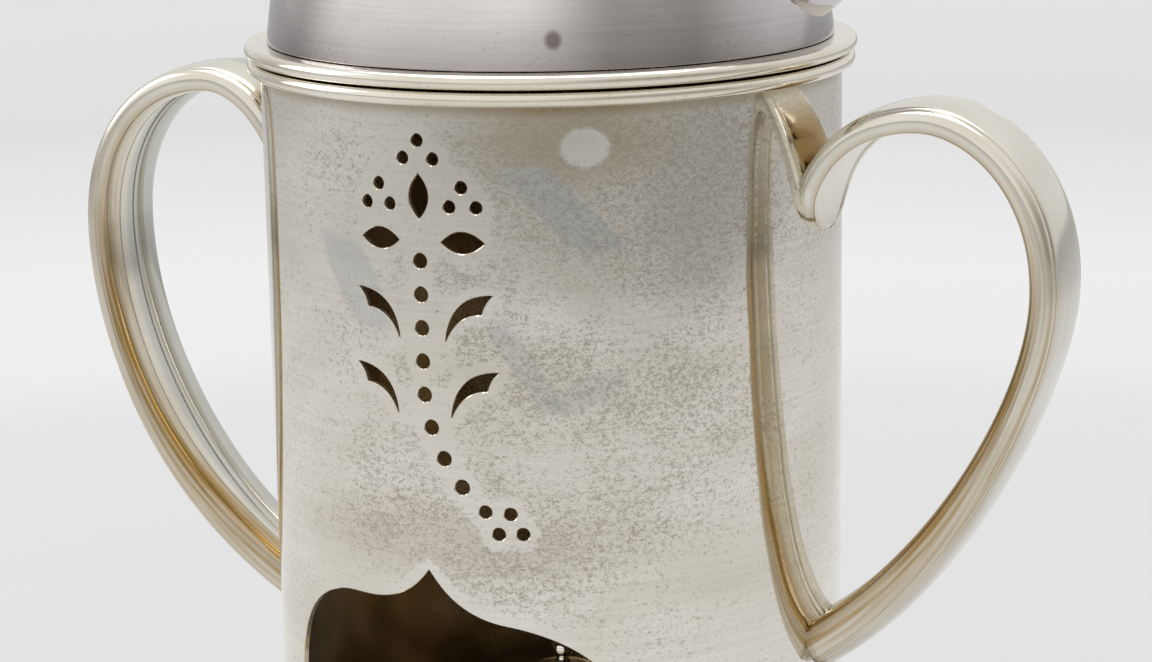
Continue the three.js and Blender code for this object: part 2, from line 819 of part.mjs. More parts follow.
function finialKnob() {
  const bottom = lidCrown + solderGap + 1.4 + solderGap;
  const top = lidCrown + finialHeight - 1.6;
  const bore = stemRadius - 0.4 + solderGap;
  const middle = (bottom + top) / 2 + 1.4;
  return ring([
    [bore, bottom],
    [3.6, bottom],
    [3, bottom + 2],
    ...arc(finialRadius - 4, middle, 4, -60, 75, 5),
    [3, top],
    [bore, top],
  ], smallSegments);
}

function finialButton() {
  const bottom = lidCrown + finialHeight + solderGap;
  return turned([
    [0, bottom],
    [2.8, bottom],
    [3, bottom + 0.6],
    [1.9, bottom + 1.6],
    [0, bottom + 2],
  ], 12);
}

function finialNut() {
  const shape = new THREE.Shape();
  for (let i = 0; i < 6; i += 1) {
    const angle = i * 60 * degrees;
    const corner = [nutRadius * Math.cos(angle), nutRadius * Math.sin(angle)];
    if (i) shape.lineTo(...corner);
    else shape.moveTo(...corner);
  }
  shape.closePath();
  const bore = new THREE.Path();
  bore.absarc(0, 0, stemHoleRadius, 0, wholeTurn, true);
  shape.holes.push(bore);
  return plate(shape, 2, lidCrown - lidGauge - solderGap - 2, 6);
}

// The hinge, drawn here at the back of the lid and then turned to its far side, clear of the handle: two
// knuckles on the neck and one on the lid, round a loose pin.
const knuckleRadius = 2.3;
const hingePinRadius = 1.1;
const hingeBore = hingePinRadius + runningGap;
const hingeBack = -(lidRadius + knuckleRadius + 0.4);
const hingeHeight = lidBottom + 0.7;
const knuckle = { middle: 4.2, outer: 5, gap: 0.35 };

function barrelAcross(radius, from, to) {
  const bar = new THREE.CylinderGeometry(radius, radius, to - from, 16);
  return solid(bar.translate(hingeBack, (from + to) / 2, hingeHeight));
}

function block(size, centre) {
  return solid(new THREE.BoxGeometry(...size).translate(...centre));
}

function hingeBase() {
  const start = knuckle.middle + knuckle.gap;
  const end = start + knuckle.outer;
  const bore = barrelAcross(hingeBore, -end - 1, end + 1);
  let leaf = null;
  for (const side of [-1, 1]) {
    const [from, to] = side > 0 ? [start, end] : [-end, -start];
    const barrel = barrelAcross(knuckleRadius, from, to);
    const width = to - from;
    const footing = shoulderBottom + 3;
    const height = hingeHeight - 0.6 - footing;
    const post = block([2.4, width, height], [hingeBack, (from + to) / 2, footing + height / 2]);
    leaf = leaf ? leaf.add(barrel).add(post) : barrel.add(post);
  }
  const padTop = collarBottom + 2.4;
  const padHeight = padTop - shoulderBottom - 3;
  const pad = block([5, 2 * end, padHeight], [hingeBack, 0, padTop - padHeight / 2]);
  return leaf.add(pad).subtract(bore).subtract(shoulderSpace());
}

function hingeLeaf() {
  const barrel = barrelAcross(knuckleRadius, -knuckle.middle, knuckle.middle);
  const reach = -lidRadius * 0.87;
  const arm = block([reach - hingeBack, 2 * knuckle.middle, 1.2], [(reach + hingeBack) / 2, 0, hingeHeight + 1.7]);
  const lid = turned([
    [0, lidBottom - 10],
    [lidRadius + solderGap, lidBottom - 10],
    ...lidLine(solderGap),
    [0, lidCrown + solderGap],
  ], 40);
  return barrel.add(arm).subtract(lid).subtract(barrelAcross(hingeBore, -20, 20));
}

function hingePin() {
  const end = knuckle.middle + knuckle.gap + knuckle.outer + 0.6;
  return barrelAcross(hingePinRadius, -end, end);
}

add(kettleGroup, 'lid', lidShell(), kettleSilver);
add(kettleGroup, 'finial_stem', finialStem(), silver);
add(kettleGroup, 'finial_knob', finialKnob(), ebonised);
add(kettleGroup, 'finial_button', finialButton(), silver);
add(kettleGroup, 'finial_nut', finialNut(), silver);
add(kettleGroup, 'hinge_base', turnedAbout(hingeBase(), -90), silver);
add(kettleGroup, 'hinge_leaf', turnedAbout(hingeLeaf(), -90), silver);
add(kettleGroup, 'hinge_pin', turnedAbout(hingePin(), -90), silver);

// The swing handle: lugs on the shoulder, pins, bowed arms, ferrules and a turned grip.
const pivotHeight = shoulderBottom + 9.5;
const bailPivotReach = topRadius - lugSetIn;
const lugInside = bailPivotReach - lugThickness / 2;
const lugOutside = bailPivotReach + lugThickness / 2;
const armInside = lugOutside + solderGap;
const armMiddle = armInside + armThickness / 2;
const gripHeight = pivotHeight + bailRise;
const ferruleEnd = gripLength / 2 + ferruleLength;
const armTip = 2.4;             // radius of the arm's round end, inside the ferrule and the grip
const socketRadius = armTip + solderGap;
const socketDepth = 6;

function bailLug(side) {
  const shape = new THREE.Shape();
  const foot = shoulderBottom + 1;
  shape.moveTo(6, foot);
  shape.quadraticCurveTo(4, pivotHeight - 3, 3.9, pivotHeight);
  shape.absarc(0, pivotHeight, 3.9, 0, Math.PI);
  shape.quadraticCurveTo(-4, pivotHeight - 3, -6, foot);
  shape.closePath();
  const bore = new THREE.Path();
  bore.absarc(0, pivotHeight, pinRadius + runningGap, 0, wholeTurn, true);
  shape.holes.push(bore);
  const upright = new THREE.ExtrudeGeometry(shape, { depth: lugThickness, bevelEnabled: false, curveSegments: 8 });
  upright.rotateX(Math.PI / 2).rotateZ(Math.PI / 2).translate(lugInside, 0, 0);
  const lug = solid(upright).subtract(shoulderSpace());
  return side > 0 ? lug : turnedAbout(lug, 180);
}

function bailPin(side) {
  const head = armInside + armThickness + solderGap;
  const pin = barAlongX(pinRadius, lugInside - 1, head + 0.2, pivotHeight)
    .add(barAlongX(pinRadius + 1.6, head, head + 1.6, pivotHeight))
    .add(barAlongX(pinRadius + 1, lugInside - 2, lugInside - solderGap, pivotHeight));
  return side > 0 ? pin : turnedAbout(pin, 180);
}

// Each arm starts as a flat eye on its pin, bows outwards and turns in to the ferrule.
function bailArm(side) {
  const at = (across, height) => new THREE.Vector3(across, 0, height);
  const line = new THREE.CurvePath();
  const bowHeight = pivotHeight + bailRise * 0.5;
  const bow = bailPivotReach + bailBow;
  line.add(new THREE.CubicBezierCurve3(at(armMiddle, pivotHeight), at(armMiddle, pivotHeight + 12),
    at(bow, bowHeight - 16), at(bow, bowHeight)));
  line.add(new THREE.CubicBezierCurve3(at(bow, bowHeight), at(bow, bowHeight + 18),
    at(ferruleEnd + 12, gripHeight), at(ferruleEnd + 0.5, gripHeight)));
  line.add(new THREE.LineCurve3(at(ferruleEnd + 0.5, gripHeight), at(gripLength / 2 - socketDepth + 1, gripHeight)));
  const steps = 14;
  const count = 8;
  const sections = Array.from({ length: steps + 1 }, (_, i) => {
    const share = i / steps;
    const place = line.getPoint(share);
    const along = line.getTangent(share);
    const outward = new THREE.Vector3(along.z, 0, -along.x);
    const half = graded([[0, armWidth / 2], [0.55, armWidth / 2 - 0.8], [0.85, armTip], [1, armTip]], share);
    const thick = graded([[0, armThickness / 2], [0.55, armThickness / 2], [0.85, armTip], [1, armTip]], share);
    return Array.from({ length: count }, (__, k) => {
      const angle = (wholeTurn * k) / count;
      const corner = place.clone().addScaledVector(outward, thick * Math.sin(angle));
      corner.y += half * Math.cos(angle);
      return corner;
    });
  });
  const eye = barAlongX(armWidth / 2 + 0.4, armInside, armInside + armThickness, pivotHeight);
  const bore = barAlongX(pinRadius + runningGap, armInside - 5, armInside + armThickness + 5, pivotHeight);
  const lugSide = block([20, 40, 30], [armInside - 10, 0, pivotHeight]);
  const headSide = block([8, 12, 9], [armInside + armThickness + 4, 0, pivotHeight]);
  const arm = lofted(sections).add(eye).subtract(bore).subtract(lugSide).subtract(headSide);
  return side > 0 ? arm : turnedAbout(arm, 180);
}

function ferrule(side) {
  const start = gripLength / 2 + solderGap;
  const end = ferruleEnd;
  const bore = socketRadius;
  const profile = [
    [bore, start], [4.9, start], [5.3, start + 0.8], [4.7, start + 1.8], [4.4, end - 2], [3.7, end], [bore, end],
  ];
  const piece = ring(profile, smallSegments);
  const alongX = piece.rotate([0, 90, 0]).translate([0, 0, gripHeight]);
  return side > 0 ? alongX : turnedAbout(alongX, 180);
}

function bailGrip() {
  const half = gripLength / 2;
  const shares = [-1, -0.8, -0.55, -0.2, 0.2, 0.55, 0.8, 1];
  const profile = shares.map((share) => [
    4.4 + (gripRadius - 4.4) * Math.cos(share * 90 * degrees),
    share * half,
  ]);
  const grip = turned([[0, -half], ...profile, [0, half]], smallSegments);
  const depth = socketDepth;
  const bore = socketRadius;
  const sockets = turned([[0, -half - depth], [bore, -half - depth], [bore, -half + depth], [0, -half + depth]], 16)
    .add(turned([[0, half - depth], [bore, half - depth], [bore, half + depth], [0, half + depth]], 16));
  return grip.subtract(sockets).rotate([0, 90, 0]).translate([0, 0, gripHeight]);
}

for (const [side, where] of [[1, 'front'], [-1, 'rear']]) {
  add(kettleGroup, `bail_lug_${where}`, bailLug(side), silver);
  add(kettleGroup, `bail_pin_${where}`, bailPin(side), silver);
  add(kettleGroup, `bail_arm_${where}`, bailArm(side), kettleSilver);
  add(kettleGroup, `bail_ferrule_${where}`, ferrule(side), silver);
}
add(kettleGroup, 'bail_grip', bailGrip(), ebonised);

export default product;
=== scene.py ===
# %% [markdown]
# # A silver tea kettle on its spirit-lamp stand
# The stand is a straight cylinder of sheet silver, pierced with a flower on a stem and cut away
# below for a spirit lamp. The kettle above it tapers upwards and drops into the stand's rim.
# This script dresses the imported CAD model: it keeps every size and place, and gives each piece
# the fine curves, soft corners and old polish that the solids leave out.

# %% Load the frame
import json
from math import asin, atan2, ceil, copysign, cos, degrees, dist, hypot, pi, radians, sin, sqrt, tan
import bmesh
import bpy
import numpy as np
from mathutils import Matrix, Vector
from mathutils.geometry import delaunay_2d_cdt


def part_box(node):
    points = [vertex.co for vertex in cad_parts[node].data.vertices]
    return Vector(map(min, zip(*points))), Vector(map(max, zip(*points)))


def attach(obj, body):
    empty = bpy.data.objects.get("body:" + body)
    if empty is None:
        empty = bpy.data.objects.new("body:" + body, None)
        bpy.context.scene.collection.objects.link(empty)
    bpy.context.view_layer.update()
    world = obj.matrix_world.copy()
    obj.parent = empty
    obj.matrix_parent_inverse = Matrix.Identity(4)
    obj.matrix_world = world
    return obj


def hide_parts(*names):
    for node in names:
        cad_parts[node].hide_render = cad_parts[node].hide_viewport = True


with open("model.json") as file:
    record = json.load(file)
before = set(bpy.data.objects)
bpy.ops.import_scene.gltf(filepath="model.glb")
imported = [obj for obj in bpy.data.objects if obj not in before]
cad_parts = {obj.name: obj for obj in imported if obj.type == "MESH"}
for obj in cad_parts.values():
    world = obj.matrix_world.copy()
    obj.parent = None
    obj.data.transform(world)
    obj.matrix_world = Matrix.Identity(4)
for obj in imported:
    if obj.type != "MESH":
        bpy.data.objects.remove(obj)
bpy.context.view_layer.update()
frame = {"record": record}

# %% [markdown]
# ## The camera
# The object was photographed from the right and a little above, through a long lens that crops
# away its lower half and the top of the kettle. The camera could be placed by eye, but here its
# place comes from the cylinder's outline: two upright edges and two rim curves fix the
# distance, the height and the turn.

# %% Camera
MM = 0.001
CAMERA_PLACE = Vector((268.51, -558.64, 258.38)) * MM
CAMERA_LOOK = Vector((-0.41668, 0.88189, -0.22055)).normalized()
CAMERA_ROLL = radians(-1.037)
CAMERA_LENS = 94.0      # millimetres, in front of a sensor 36 mm wide
scene = bpy.context.scene


def placed(name, data):
    """A new object in the scene."""
    made = bpy.data.objects.new(name, data)
    scene.collection.objects.link(made)
    return made


level = CAMERA_LOOK.cross(Vector((0, 0, 1))).normalized()
upright = level.cross(CAMERA_LOOK)
to_right = cos(CAMERA_ROLL) * level + sin(CAMERA_ROLL) * upright
to_top = -sin(CAMERA_ROLL) * level + cos(CAMERA_ROLL) * upright
camera = placed("camera", bpy.data.cameras.new("camera"))
camera.data.lens = CAMERA_LENS
camera.data.sensor_width = 36.0
camera.data.sensor_fit = "HORIZONTAL"
camera.data.clip_start, camera.data.clip_end = 0.02, 60.0
turn = Matrix((to_right, to_top, -CAMERA_LOOK)).transposed().to_4x4()
camera.matrix_world = Matrix.Translation(CAMERA_PLACE) @ turn
scene.camera = camera
scene.view_settings.view_transform = "Standard"
print("camera", [round(v, 3) for v in CAMERA_PLACE], "lens", CAMERA_LENS, "mm")

# %% [markdown]
# ## Colours and nodes
# Colours are written as the sRGB hex values a person would pick from a picture, and one function
# turns them into the linear light that Blender works in. A second one empties a node tree and
# gives the function that adds a node with its settings and links, so that a material reads as a
# list of what happens to a point.

# %% Helpers for materials
SOFT = {"interpolation_type": "SMOOTHSTEP"}     # a range with soft ends
COLOURS = {"data_type": "RGBA"}                 # a mix of colours, with 6 and 7 as its inputs


def colour(code):
    """An sRGB hex value as linear red, green, blue and alpha. Two digits stand for a grey."""
    parts = [int((code * 3)[i:i + 2], 16) / 255 for i in (0, 2, 4)]
    return [p / 12.92 if p <= 0.04045 else ((p + 0.055) / 1.055) ** 2.4 for p in parts] + [1.0]


def blank(holder):
    """Empties the node tree of a material or world and gives the function that adds nodes to it."""
    holder.use_nodes = True
    tree = holder.node_tree
    tree.nodes.clear()

    def add(kind, inputs=(), stops=(), **settings):
        """Adds a node, such as "Mix" or "Math ADD". Its inputs are values, results or whole nodes,
        which give their first result. Stops are the places and colours of a colour ramp."""
        kind, _, operation = kind.partition(" ")
        made = tree.nodes.new("ShaderNode" + kind)
        if operation:
            made.operation = operation
        for name, value in settings.items():
            setattr(made, name, value)
        for name, value in inputs.items() if isinstance(inputs, dict) else enumerate(inputs):
            if isinstance(value, bpy.types.Node):
                value = next(result for result in value.outputs if result.enabled)
            if isinstance(value, bpy.types.NodeSocket):
                tree.links.new(value, made.inputs[name])
            else:
                made.inputs[name].default_value = value
        while stops and len(made.color_ramp.elements) < len(stops):
            made.color_ramp.elements.new(0.5)
        for i, (place, code) in enumerate(stops):
            made.color_ramp.elements[i].position = place
            made.color_ramp.elements[i].color = colour(code)
        return made

    return add


print("white turns into", [round(v, 3) for v in colour("ff")])

# %% [markdown]
# ## The studio
# Polished silver has hardly a colour of its own: it shows the room. The object stands on a pale
# sweep, under a large soft box, with the darker room behind the photographer. Lamps alone would
# leave black gaps in the metal, so the world round it is drawn as well: pale behind and above, and
# grey in front. The camera sees it plain and pale, and mirrors see the room.

# %% World
ROOM_FRONT, ROOM_SIDE, ROOM_BACK, ROOM_TOP = "b4b0ab", "a3a09c", "e6e5e3", "f4f3f1"
WINDOW = "fbf9f6"
WINDOW_WAY = (-0.45, -0.89, 0.06)

world = bpy.data.worlds.new("studio")
scene.world = world
add = blank(world)
path = add("LightPath").outputs
direction = add("TexCoord").outputs["Generated"]
parts = add("SeparateXYZ", [direction]).outputs
depth = add("MapRange", [parts["Y"], -0.9, 0.9], **SOFT)
around = add("ValToRGB", [depth], [(0.0, ROOM_FRONT), (0.45, ROOM_SIDE), (1.0, ROOM_BACK)])
height = add("MapRange", [parts["Z"], 0.15, 0.75], **SOFT)
room = add("Mix", {0: height, 6: around, 7: colour(ROOM_TOP)}, **COLOURS)
# A tall window stands in front, a little to the left. Its light falls off softly to both sides.
window = add("VectorMath DOT_PRODUCT", [direction, WINDOW_WAY])
window = add("MapRange", [window, 0.12, 0.95], interpolation_type="SMOOTHERSTEP")
room = add("Mix", {0: window, 6: room, 7: colour(WINDOW)}, **COLOURS)
seen = add("Background", [colour("f0")])
mirrored = add("Background", [room])
lighting = add("Background", [colour("c4")])
glossy = add("MixShader", [path["Is Glossy Ray"], lighting, mirrored])
plain = add("Math MAXIMUM", [path["Is Camera Ray"], path["Is Transmission Ray"]])
add("OutputWorld", [add("MixShader", [plain, glossy, seen])])
print("world:", world.name)

# %% [markdown]
# The sweep under the object is a plain pale floor. Lit by lamps alone it would have one bright pool,
# so most of its brightness is drawn by the distance from the object: soft bands, as in the
# picture. The rest comes from the lamps and takes the shadows.

# %% Floor and lamps
FLOOR_BANDS = [(0.0, "e2"), (0.17, "e2"), (0.25, "e5"), (0.31, "f2"), (0.40, "f5"), (0.49, "f0"),
               (0.65, "e6"), (0.80, "ec"), (1.0, "f0")]
FLOOR_IN_MIRRORS = [(0.0, "e6"), (0.16, "ebebea"), (0.27, "e6e5e4"), (0.38, "dfdedd"),
                    (0.46, "cccbca"), (1.0, "b8b7b5")]
FLOOR_SPAN = 1.65      # metres from the object over which the bands run
FLOOR_HALF = 9.0       # metres from its middle to its edge
ROOM_WAY = (0.86, -0.5, 0.0)
SHADOW_SHARE = 0.3     # how much of the floor's brightness comes from the lamps

floor_material = bpy.data.materials.new("pale_paper_sweep")
add = blank(floor_material)
place = add("NewGeometry").outputs["Position"]
flat = add("VectorMath MULTIPLY", [place, (1.0, 1.0, 0.0)])
reach = add("VectorMath LENGTH", [flat])
share = add("Math DIVIDE", [reach, FLOOR_SPAN])
bands = add("ValToRGB", [share], FLOOR_BANDS)
# Mirrors see the sweep end in front of the object, where the unlit room begins, sooner on the right.
mirrored = add("ValToRGB", [share], FLOOR_IN_MIRRORS)
ahead = add("VectorMath DOT_PRODUCT", [place, ROOM_WAY])
unlit = add("MapRange", [ahead, 0.56, 0.66], **SOFT)
mirrored = add("Mix", {0: unlit, 6: mirrored, 7: colour("c6c5c3")}, **COLOURS)
path = add("LightPath").outputs
bands = add("Mix", {0: path["Is Glossy Ray"], 6: bands, 7: mirrored}, **COLOURS)
glow = add("Emission", [bands])
matt = add("BsdfDiffuse", [colour("e8")])
shown = add("Math MAXIMUM", [path["Is Camera Ray"], path["Is Glossy Ray"]])
shown = add("Math MAXIMUM", [shown, path["Is Transmission Ray"]])
share = add("Math MULTIPLY", [shown, 1 - SHADOW_SHARE])
add("OutputMaterial", [add("MixShader", [share, matt, glow])])
floor_material.cycles.emission_sampling = "NONE"

floor = placed("floor", bpy.data.meshes.new("floor"))
corners = [(x * FLOOR_HALF, y * FLOOR_HALF, 0) for x, y in ((-1, -1), (1, -1), (1, 1), (-1, 1))]
floor.data.from_pydata(corners, [], [(0, 1, 2, 3)])
floor.data.materials.append(floor_material)

for name, place, aim, width, depth, watts in (
        ("overhead_box", (-0.1, 0.15, 1.25), (0, 0, 0.1), 1.2, 0.9, 7.0),
        ("left_box", (-1.3, -0.3, 0.75), (0, 0, 0.15), 0.8, 0.9, 4.0)):
    lamp = placed(name, bpy.data.lights.new(name, "AREA"))
    lamp.data.shape = "RECTANGLE"
    lamp.data.size, lamp.data.size_y = width, depth
    lamp.data.energy = watts
    lamp.location = place
    lamp.rotation_mode = "QUATERNION"
    lamp.rotation_quaternion = (Vector(aim) - Vector(place)).to_track_quat("-Z", "Y")
    print(name, "gives", watts, "watts")

# %% [markdown]
# ## Silver
# Sterling silver is warm white. Old pieces are never evenly bright: polish wears the open surfaces
# and leaves a film of brown sulphide in corners, and the sheet keeps cloudy islands of fine grey
# pepper where it was missed. A picture could be laid over it, but noise at the real grain sizes
# holds at every distance and has no seam. Fine level scratches come from years of wiping.

# %% Patinated silver
INSIDE_COLOURS = ("7d6845", "b39a70", "ead9b9")


def total(add, *terms):
    """Adds up values, each written with its weight."""
    result = 0.0
    for value, weight in terms:
        result = add("Math MULTIPLY_ADD", [value, weight, result])
    return result


def patina(name, colours, cover, rough, brushed=0.3, marks=None, painted_shade_colour="aeb3b5"):
    """Old polished silver: a bright ground, soft clouds, fine pepper, brushing, and a brown film.
    The colours are those of the ground, the clouds, the pepper and the film."""
    made = bpy.data.materials.new(name)
    add = blank(made)
    bright, cloud, pepper_colour, film_colour = (colour(code) for code in colours)
    place = add("TexCoord").outputs["Object"]
    # Pepper and clouds lie in level streaks, because the sheet was wiped round and round.
    squat = add("Mapping", {"Vector": place, "Scale": (1.0, 1.0, 1.5)})
    # Grains are 0.2 to 0.5 mm across, and they join into worms about 1 mm long.
    islands, clouds, grains, worms = (
        add("TexNoise", {"Vector": squat, "Scale": scale, "Detail": detail, "Roughness": fineness,
                         "Distortion": bent})
        for scale, detail, fineness, bent in ((48.0, 4.0, 0.6, 0.0), (19.0, 3.0, 0.55, 0.6),
                                              (1800.0, 2.0, 0.7, 0.0), (850.0, 2.0, 0.6, 0.5)))
    more, film, smooth, painted_shade_and_tint = marks(add, place, clouds) if marks else (0.0, 0.0, 0.0, 0.0)
    amount = total(add, (islands, 1.9), (more, 0.55), (smooth, -0.8))
    limit = add("MapRange", [amount, 0.75, 1.55, 0.71 - 0.08 * cover, 0.575 - 0.08 * cover])
    spots = add("Math SUBTRACT", [total(add, (grains, 0.55), (worms, 0.45)), limit])
    pepper = add("MapRange", [spots, -0.05, 0.10, 0.0, 0.8])
    ground = add("MapRange", [clouds, 0.36, 0.66])
    base = add("Mix", {0: ground, 6: bright, 7: cloud}, **COLOURS)
    # Brushing: level lines 0.1 to 0.8 mm apart, drawn coarser than the real ones so that they show.
    wiped = add("Mapping", {"Vector": place, "Scale": (0.014, 0.014, 1.0)})
    lines = add("TexNoise", {"Vector": wiped, "Scale": 1300.0, "Detail": 4.0, "Roughness": 0.7})
    drawn = total(add, (add("MapRange", [lines, 0.42, 0.72]), brushed))
    # The marks' grey, mostly painted shade and painted reflection, is mixed in here in the shade
    # colour.
    for amount, over in ((drawn, pepper_colour), (painted_shade_and_tint, colour(painted_shade_colour)), (film, film_colour),
                         (pepper, pepper_colour)):
        base = add("Mix", {0: amount, 6: base, 7: over}, **COLOURS)
    # The side that nobody polishes has gone brown all over.
    hidden = add("Attribute", attribute_name="hidden").outputs["Fac"]
    sooty = add("ValToRGB", [clouds], list(zip((0.36, 0.5, 0.64), INSIDE_COLOURS)))
    base = add("Mix", {0: hidden, 6: base, 7: sooty}, **COLOURS)
    # Wear leaves long low waves, 15 to 30 mm from crest to crest.
    waves = add("TexNoise", {"Vector": place, "Scale": 45.0, "Detail": 1.0})
    relief = add("Bump", {"Height": lines, "Strength": 0.1, "Distance": 0.00002})
    relief = add("Bump", {"Height": waves, "Strength": 0.25, "Distance": 0.0006, "Normal": relief})
    roughness = add("MapRange", [pepper, 0.0, 1.0, rough, rough + 0.2])
    shader = add("BsdfPrincipled", {
        "Base Color": base, "Metallic": add("MapRange", [hidden, 0.0, 1.0, 1.0, 0.55]),
        "Roughness": total(add, (roughness, 1.0), (hidden, 0.1)), "Normal": relief})
    add("OutputMaterial", [shader])
    return made


print("silver is drawn from noise with grains of 0.2 to 0.5 mm")

# %% [markdown]
# ## Where the silver is worn, where it is brown, and where shade is painted
# Three functions say where each mark lies. Every one gives four amounts: more pepper, brown film,
# smoothness and grey, which is mostly painted shade and painted reflection with a little grey tint. On
# the walls a mark is an oval patch, placed by the angle from the front and the height; on a strap it
# follows the strap's own length and the way round its section.

# %% Marks
def patch(add, spot, ragged, centre, half, soft, slant=0.0, power=2.0):
    """A mask with a ragged edge, 1 inside and 0 outside: an oval, or squarer at a higher power."""
    across, height = spot
    if slant:
        across = total(add, (across, 1.0), (height, -slant))
        centre = (centre[0] - slant * centre[1], centre[1])
    far = 0.0
    for value, middle, reach in ((across, centre[0], half[0]), (height, centre[1], half[1])):
        off = add("Math ABSOLUTE", [add("Math SUBTRACT", [value, middle])])
        off = add("Math POWER", [add("Math DIVIDE", [off, reach]), power])
        far = add("Math ADD", [off, far])
    far = add("Math POWER", [far, 1 / power])
    far = add("Math SUBTRACT", [total(add, (far, 1.0), (ragged, 1.1)), 0.55])
    return add("MapRange", [far, 1 - soft, 1 + soft, 1.0, 0.0], **SOFT)


def round_spot(add, place):
    """The angle from the front, and the height, of a point on a round wall."""
    spot = add("SeparateXYZ", [place]).outputs
    ahead = add("Math MULTIPLY", [spot["Y"], -1.0])
    return add("Math", [spot["X"], ahead], operation="ARCTAN2"), spot["Z"]


def wall_marks(add, place, ragged):
    """The stand's wall: peppered in the middle, filmed under the rim, clean round the cuts, with
    painted reflections in bluish bands.
    """
    spot = round_spot(add, place)
    dense, middle, column_pepper_and_reflection, halo, cleaned, low = (patch(add, spot, ragged, *oval) for oval in (
        ((0.68, 0.165), (0.55, 0.022), 0.5), ((0.42, 0.118), (0.75, 0.045), 0.45),
        ((1.00, 0.155), (0.22, 0.02), 0.5), ((0.50, 0.169), (0.30, 0.008), 0.6),
        ((0.545, 0.1672), (0.075, 0.0036), 0.22), ((0.0, 0.089), (0.55, 0.007), 0.7)))
    under_rim = add("MapRange", [spot[1], 0.1722, 0.1749], **SOFT)
    # Painted reflections of the room lie on the sheet as bluish grey bands on the slant; the widest one
    # also has less pepper.
    painted_reflection_wedge, *painted_reflection_bands = (patch(add, spot, ragged, *band) for band in (
        ((0.465, 0.1555), (0.09, 0.0085), 0.1, -15.9, 6.0),
        ((0.35, 0.124), (0.055, 0.009), 0.14, -11.1, 4.0),
        ((0.54, 0.1195), (0.09, 0.0045), 0.14, 20.0, 4.0),
        ((-0.25, 0.139), (0.10, 0.009), 0.14, -9.0, 4.0)))
    gap = add("Attribute", attribute_name="gap").outputs["Fac"]
    border = add("MapRange", [gap, 0.16, 0.55, 1.0, 0.0], **SOFT)
    more = total(add, (dense, 0.95), (middle, 0.75), (column_pepper_and_reflection, 0.3), (low, 0.3))
    smooth = total(add, (cleaned, 1.1), (painted_reflection_wedge, 0.5), (border, 0.9))
    # The grey is painted reflection in the bands and the column, and a grey tint over the dense pepper.
    painted_shade_and_tint = total(add, (painted_reflection_wedge, 0.45), *((band, 0.34) for band in painted_reflection_bands), (column_pepper_and_reflection, 0.3), (dense, 0.2))
    film = total(add, (under_rim, 0.6), (halo, 0.38), (low, 0.25), (dense, 0.14), (column_pepper_and_reflection, 0.05))
    film = add("Math MAXIMUM", [total(add, (film, 1.0), (smooth, -0.7)), 0.0])
    return more, film, smooth, painted_shade_and_tint


def strap_marks(add, place, ragged):
    """A strap handle: brown lines along it, brown lower down, painted grey shade and reflection on the
    left inner face and the lower crowns, and painted shade in the crook.
    """
    band, share, inner, front = (add("Attribute", attribute_name=label).outputs["Fac"]
                                 for label in ("band", "share", "inner_film", "front"))
    # Streaks run along the strap: fine across the section, long along it.
    strip = add("CombineXYZ", [total(add, (band, 26.0)), total(add, (share, 6.0))])
    streaks = add("TexNoise", {"Vector": strip, "Scale": 1.0, "Detail": 3.0, "Roughness": 0.6})
    streaky = add("MapRange", [streaks, 0.42, 0.66])
    lines = add("ValToRGB", [band], [
        (0.0, "00"), (0.075, "20"), (0.095, "f0"), (0.12, "70"), (0.19, "80"),
        (0.235, "c8"), (0.265, "a0"), (0.30, "30"), (0.5, "18"), (0.55, "c0"),
        (0.6, "18"), (0.75, "00")])
    # Lower down the film spreads over the inner half of the strap's edge and thins towards the crown.
    spread = add("ValToRGB", [band], [
        (0.0, "20"), (0.09, "60"), (0.14, "b0"), (0.24, "f0"), (0.31, "ff"),
        (0.35, "90"), (0.42, "e0"), (0.5, "a0"), (0.6, "b0"), (0.8, "70"), (1.0, "50")])
    lower = add("MapRange", [share, 0.42, 0.8], **SOFT)
    hollow = add("Math MULTIPLY", [add("MapRange", [band, 0.085, 0.1, 1.0, 0.0]), inner])
    hollow = add("Math MULTIPLY", [hollow, add("MapRange", [share, 0.12, 0.3], **SOFT)])
    streaky = total(add, (streaky, 0.8), (lower, 0.25))
    tail = add("Math MULTIPLY", [add("Math MULTIPLY", [lower, spread]), streaky])
    kept = add("MapRange", [front, 0.0, 1.0, 0.1, 1.0])
    film = add("Math MULTIPLY", [total(add, (lines, 0.7), (tail, 1.2)), kept])
    # Painted shade and reflection in the crook over the tongue, between strap, wall and rim: the film
    # is laid on thickly there.
    painted_crook_shade = add("MapRange", [share, 0.15, 0.24, 1.0, 0.0])
    painted_crook_shade = add("Math MULTIPLY", [painted_crook_shade, add("MapRange", [band, 0.5, 0.62])])
    film = add("Math MINIMUM", [total(add, (film, 1.0), (hollow, 0.34), (painted_crook_shade, 0.9)), 1.0])
    # Painted shade and reflection: the left strap's inner face is grey instead of brown, and so is the
    # lower half of each crown.
    painted_grey = add("Math SUBTRACT", [1.0, front])
    painted_grey = add("Math SUBTRACT", [painted_grey, inner], use_clamp=True)
    crown = add("Math MULTIPLY", [add("MapRange", [band, 0.55, 0.8]), lower])
    return 0.0, film, 0.3, total(add, (painted_grey, 0.55), (crown, 0.22), (streaks, 0.08))


def kettle_marks(add, place, ragged):
    """The kettle's wall: painted shade and more pepper towards its foot, with one old stain."""
    spot = round_spot(add, place)
    # Painted shade: the wall darkens towards its foot, and more pepper gathers there too.
    foot = add("Math POWER", [add("MapRange", [spot[1], 0.1815, 0.196, 1.0, 0.0]), 1.5])
    stain = patch(add, spot, ragged, (0.455, 0.1872), (0.028, 0.0018), 0.4)
    return total(add, (foot, 0.5)), total(add, (stain, 0.75)), 0.0, total(add, (foot, 0.62))


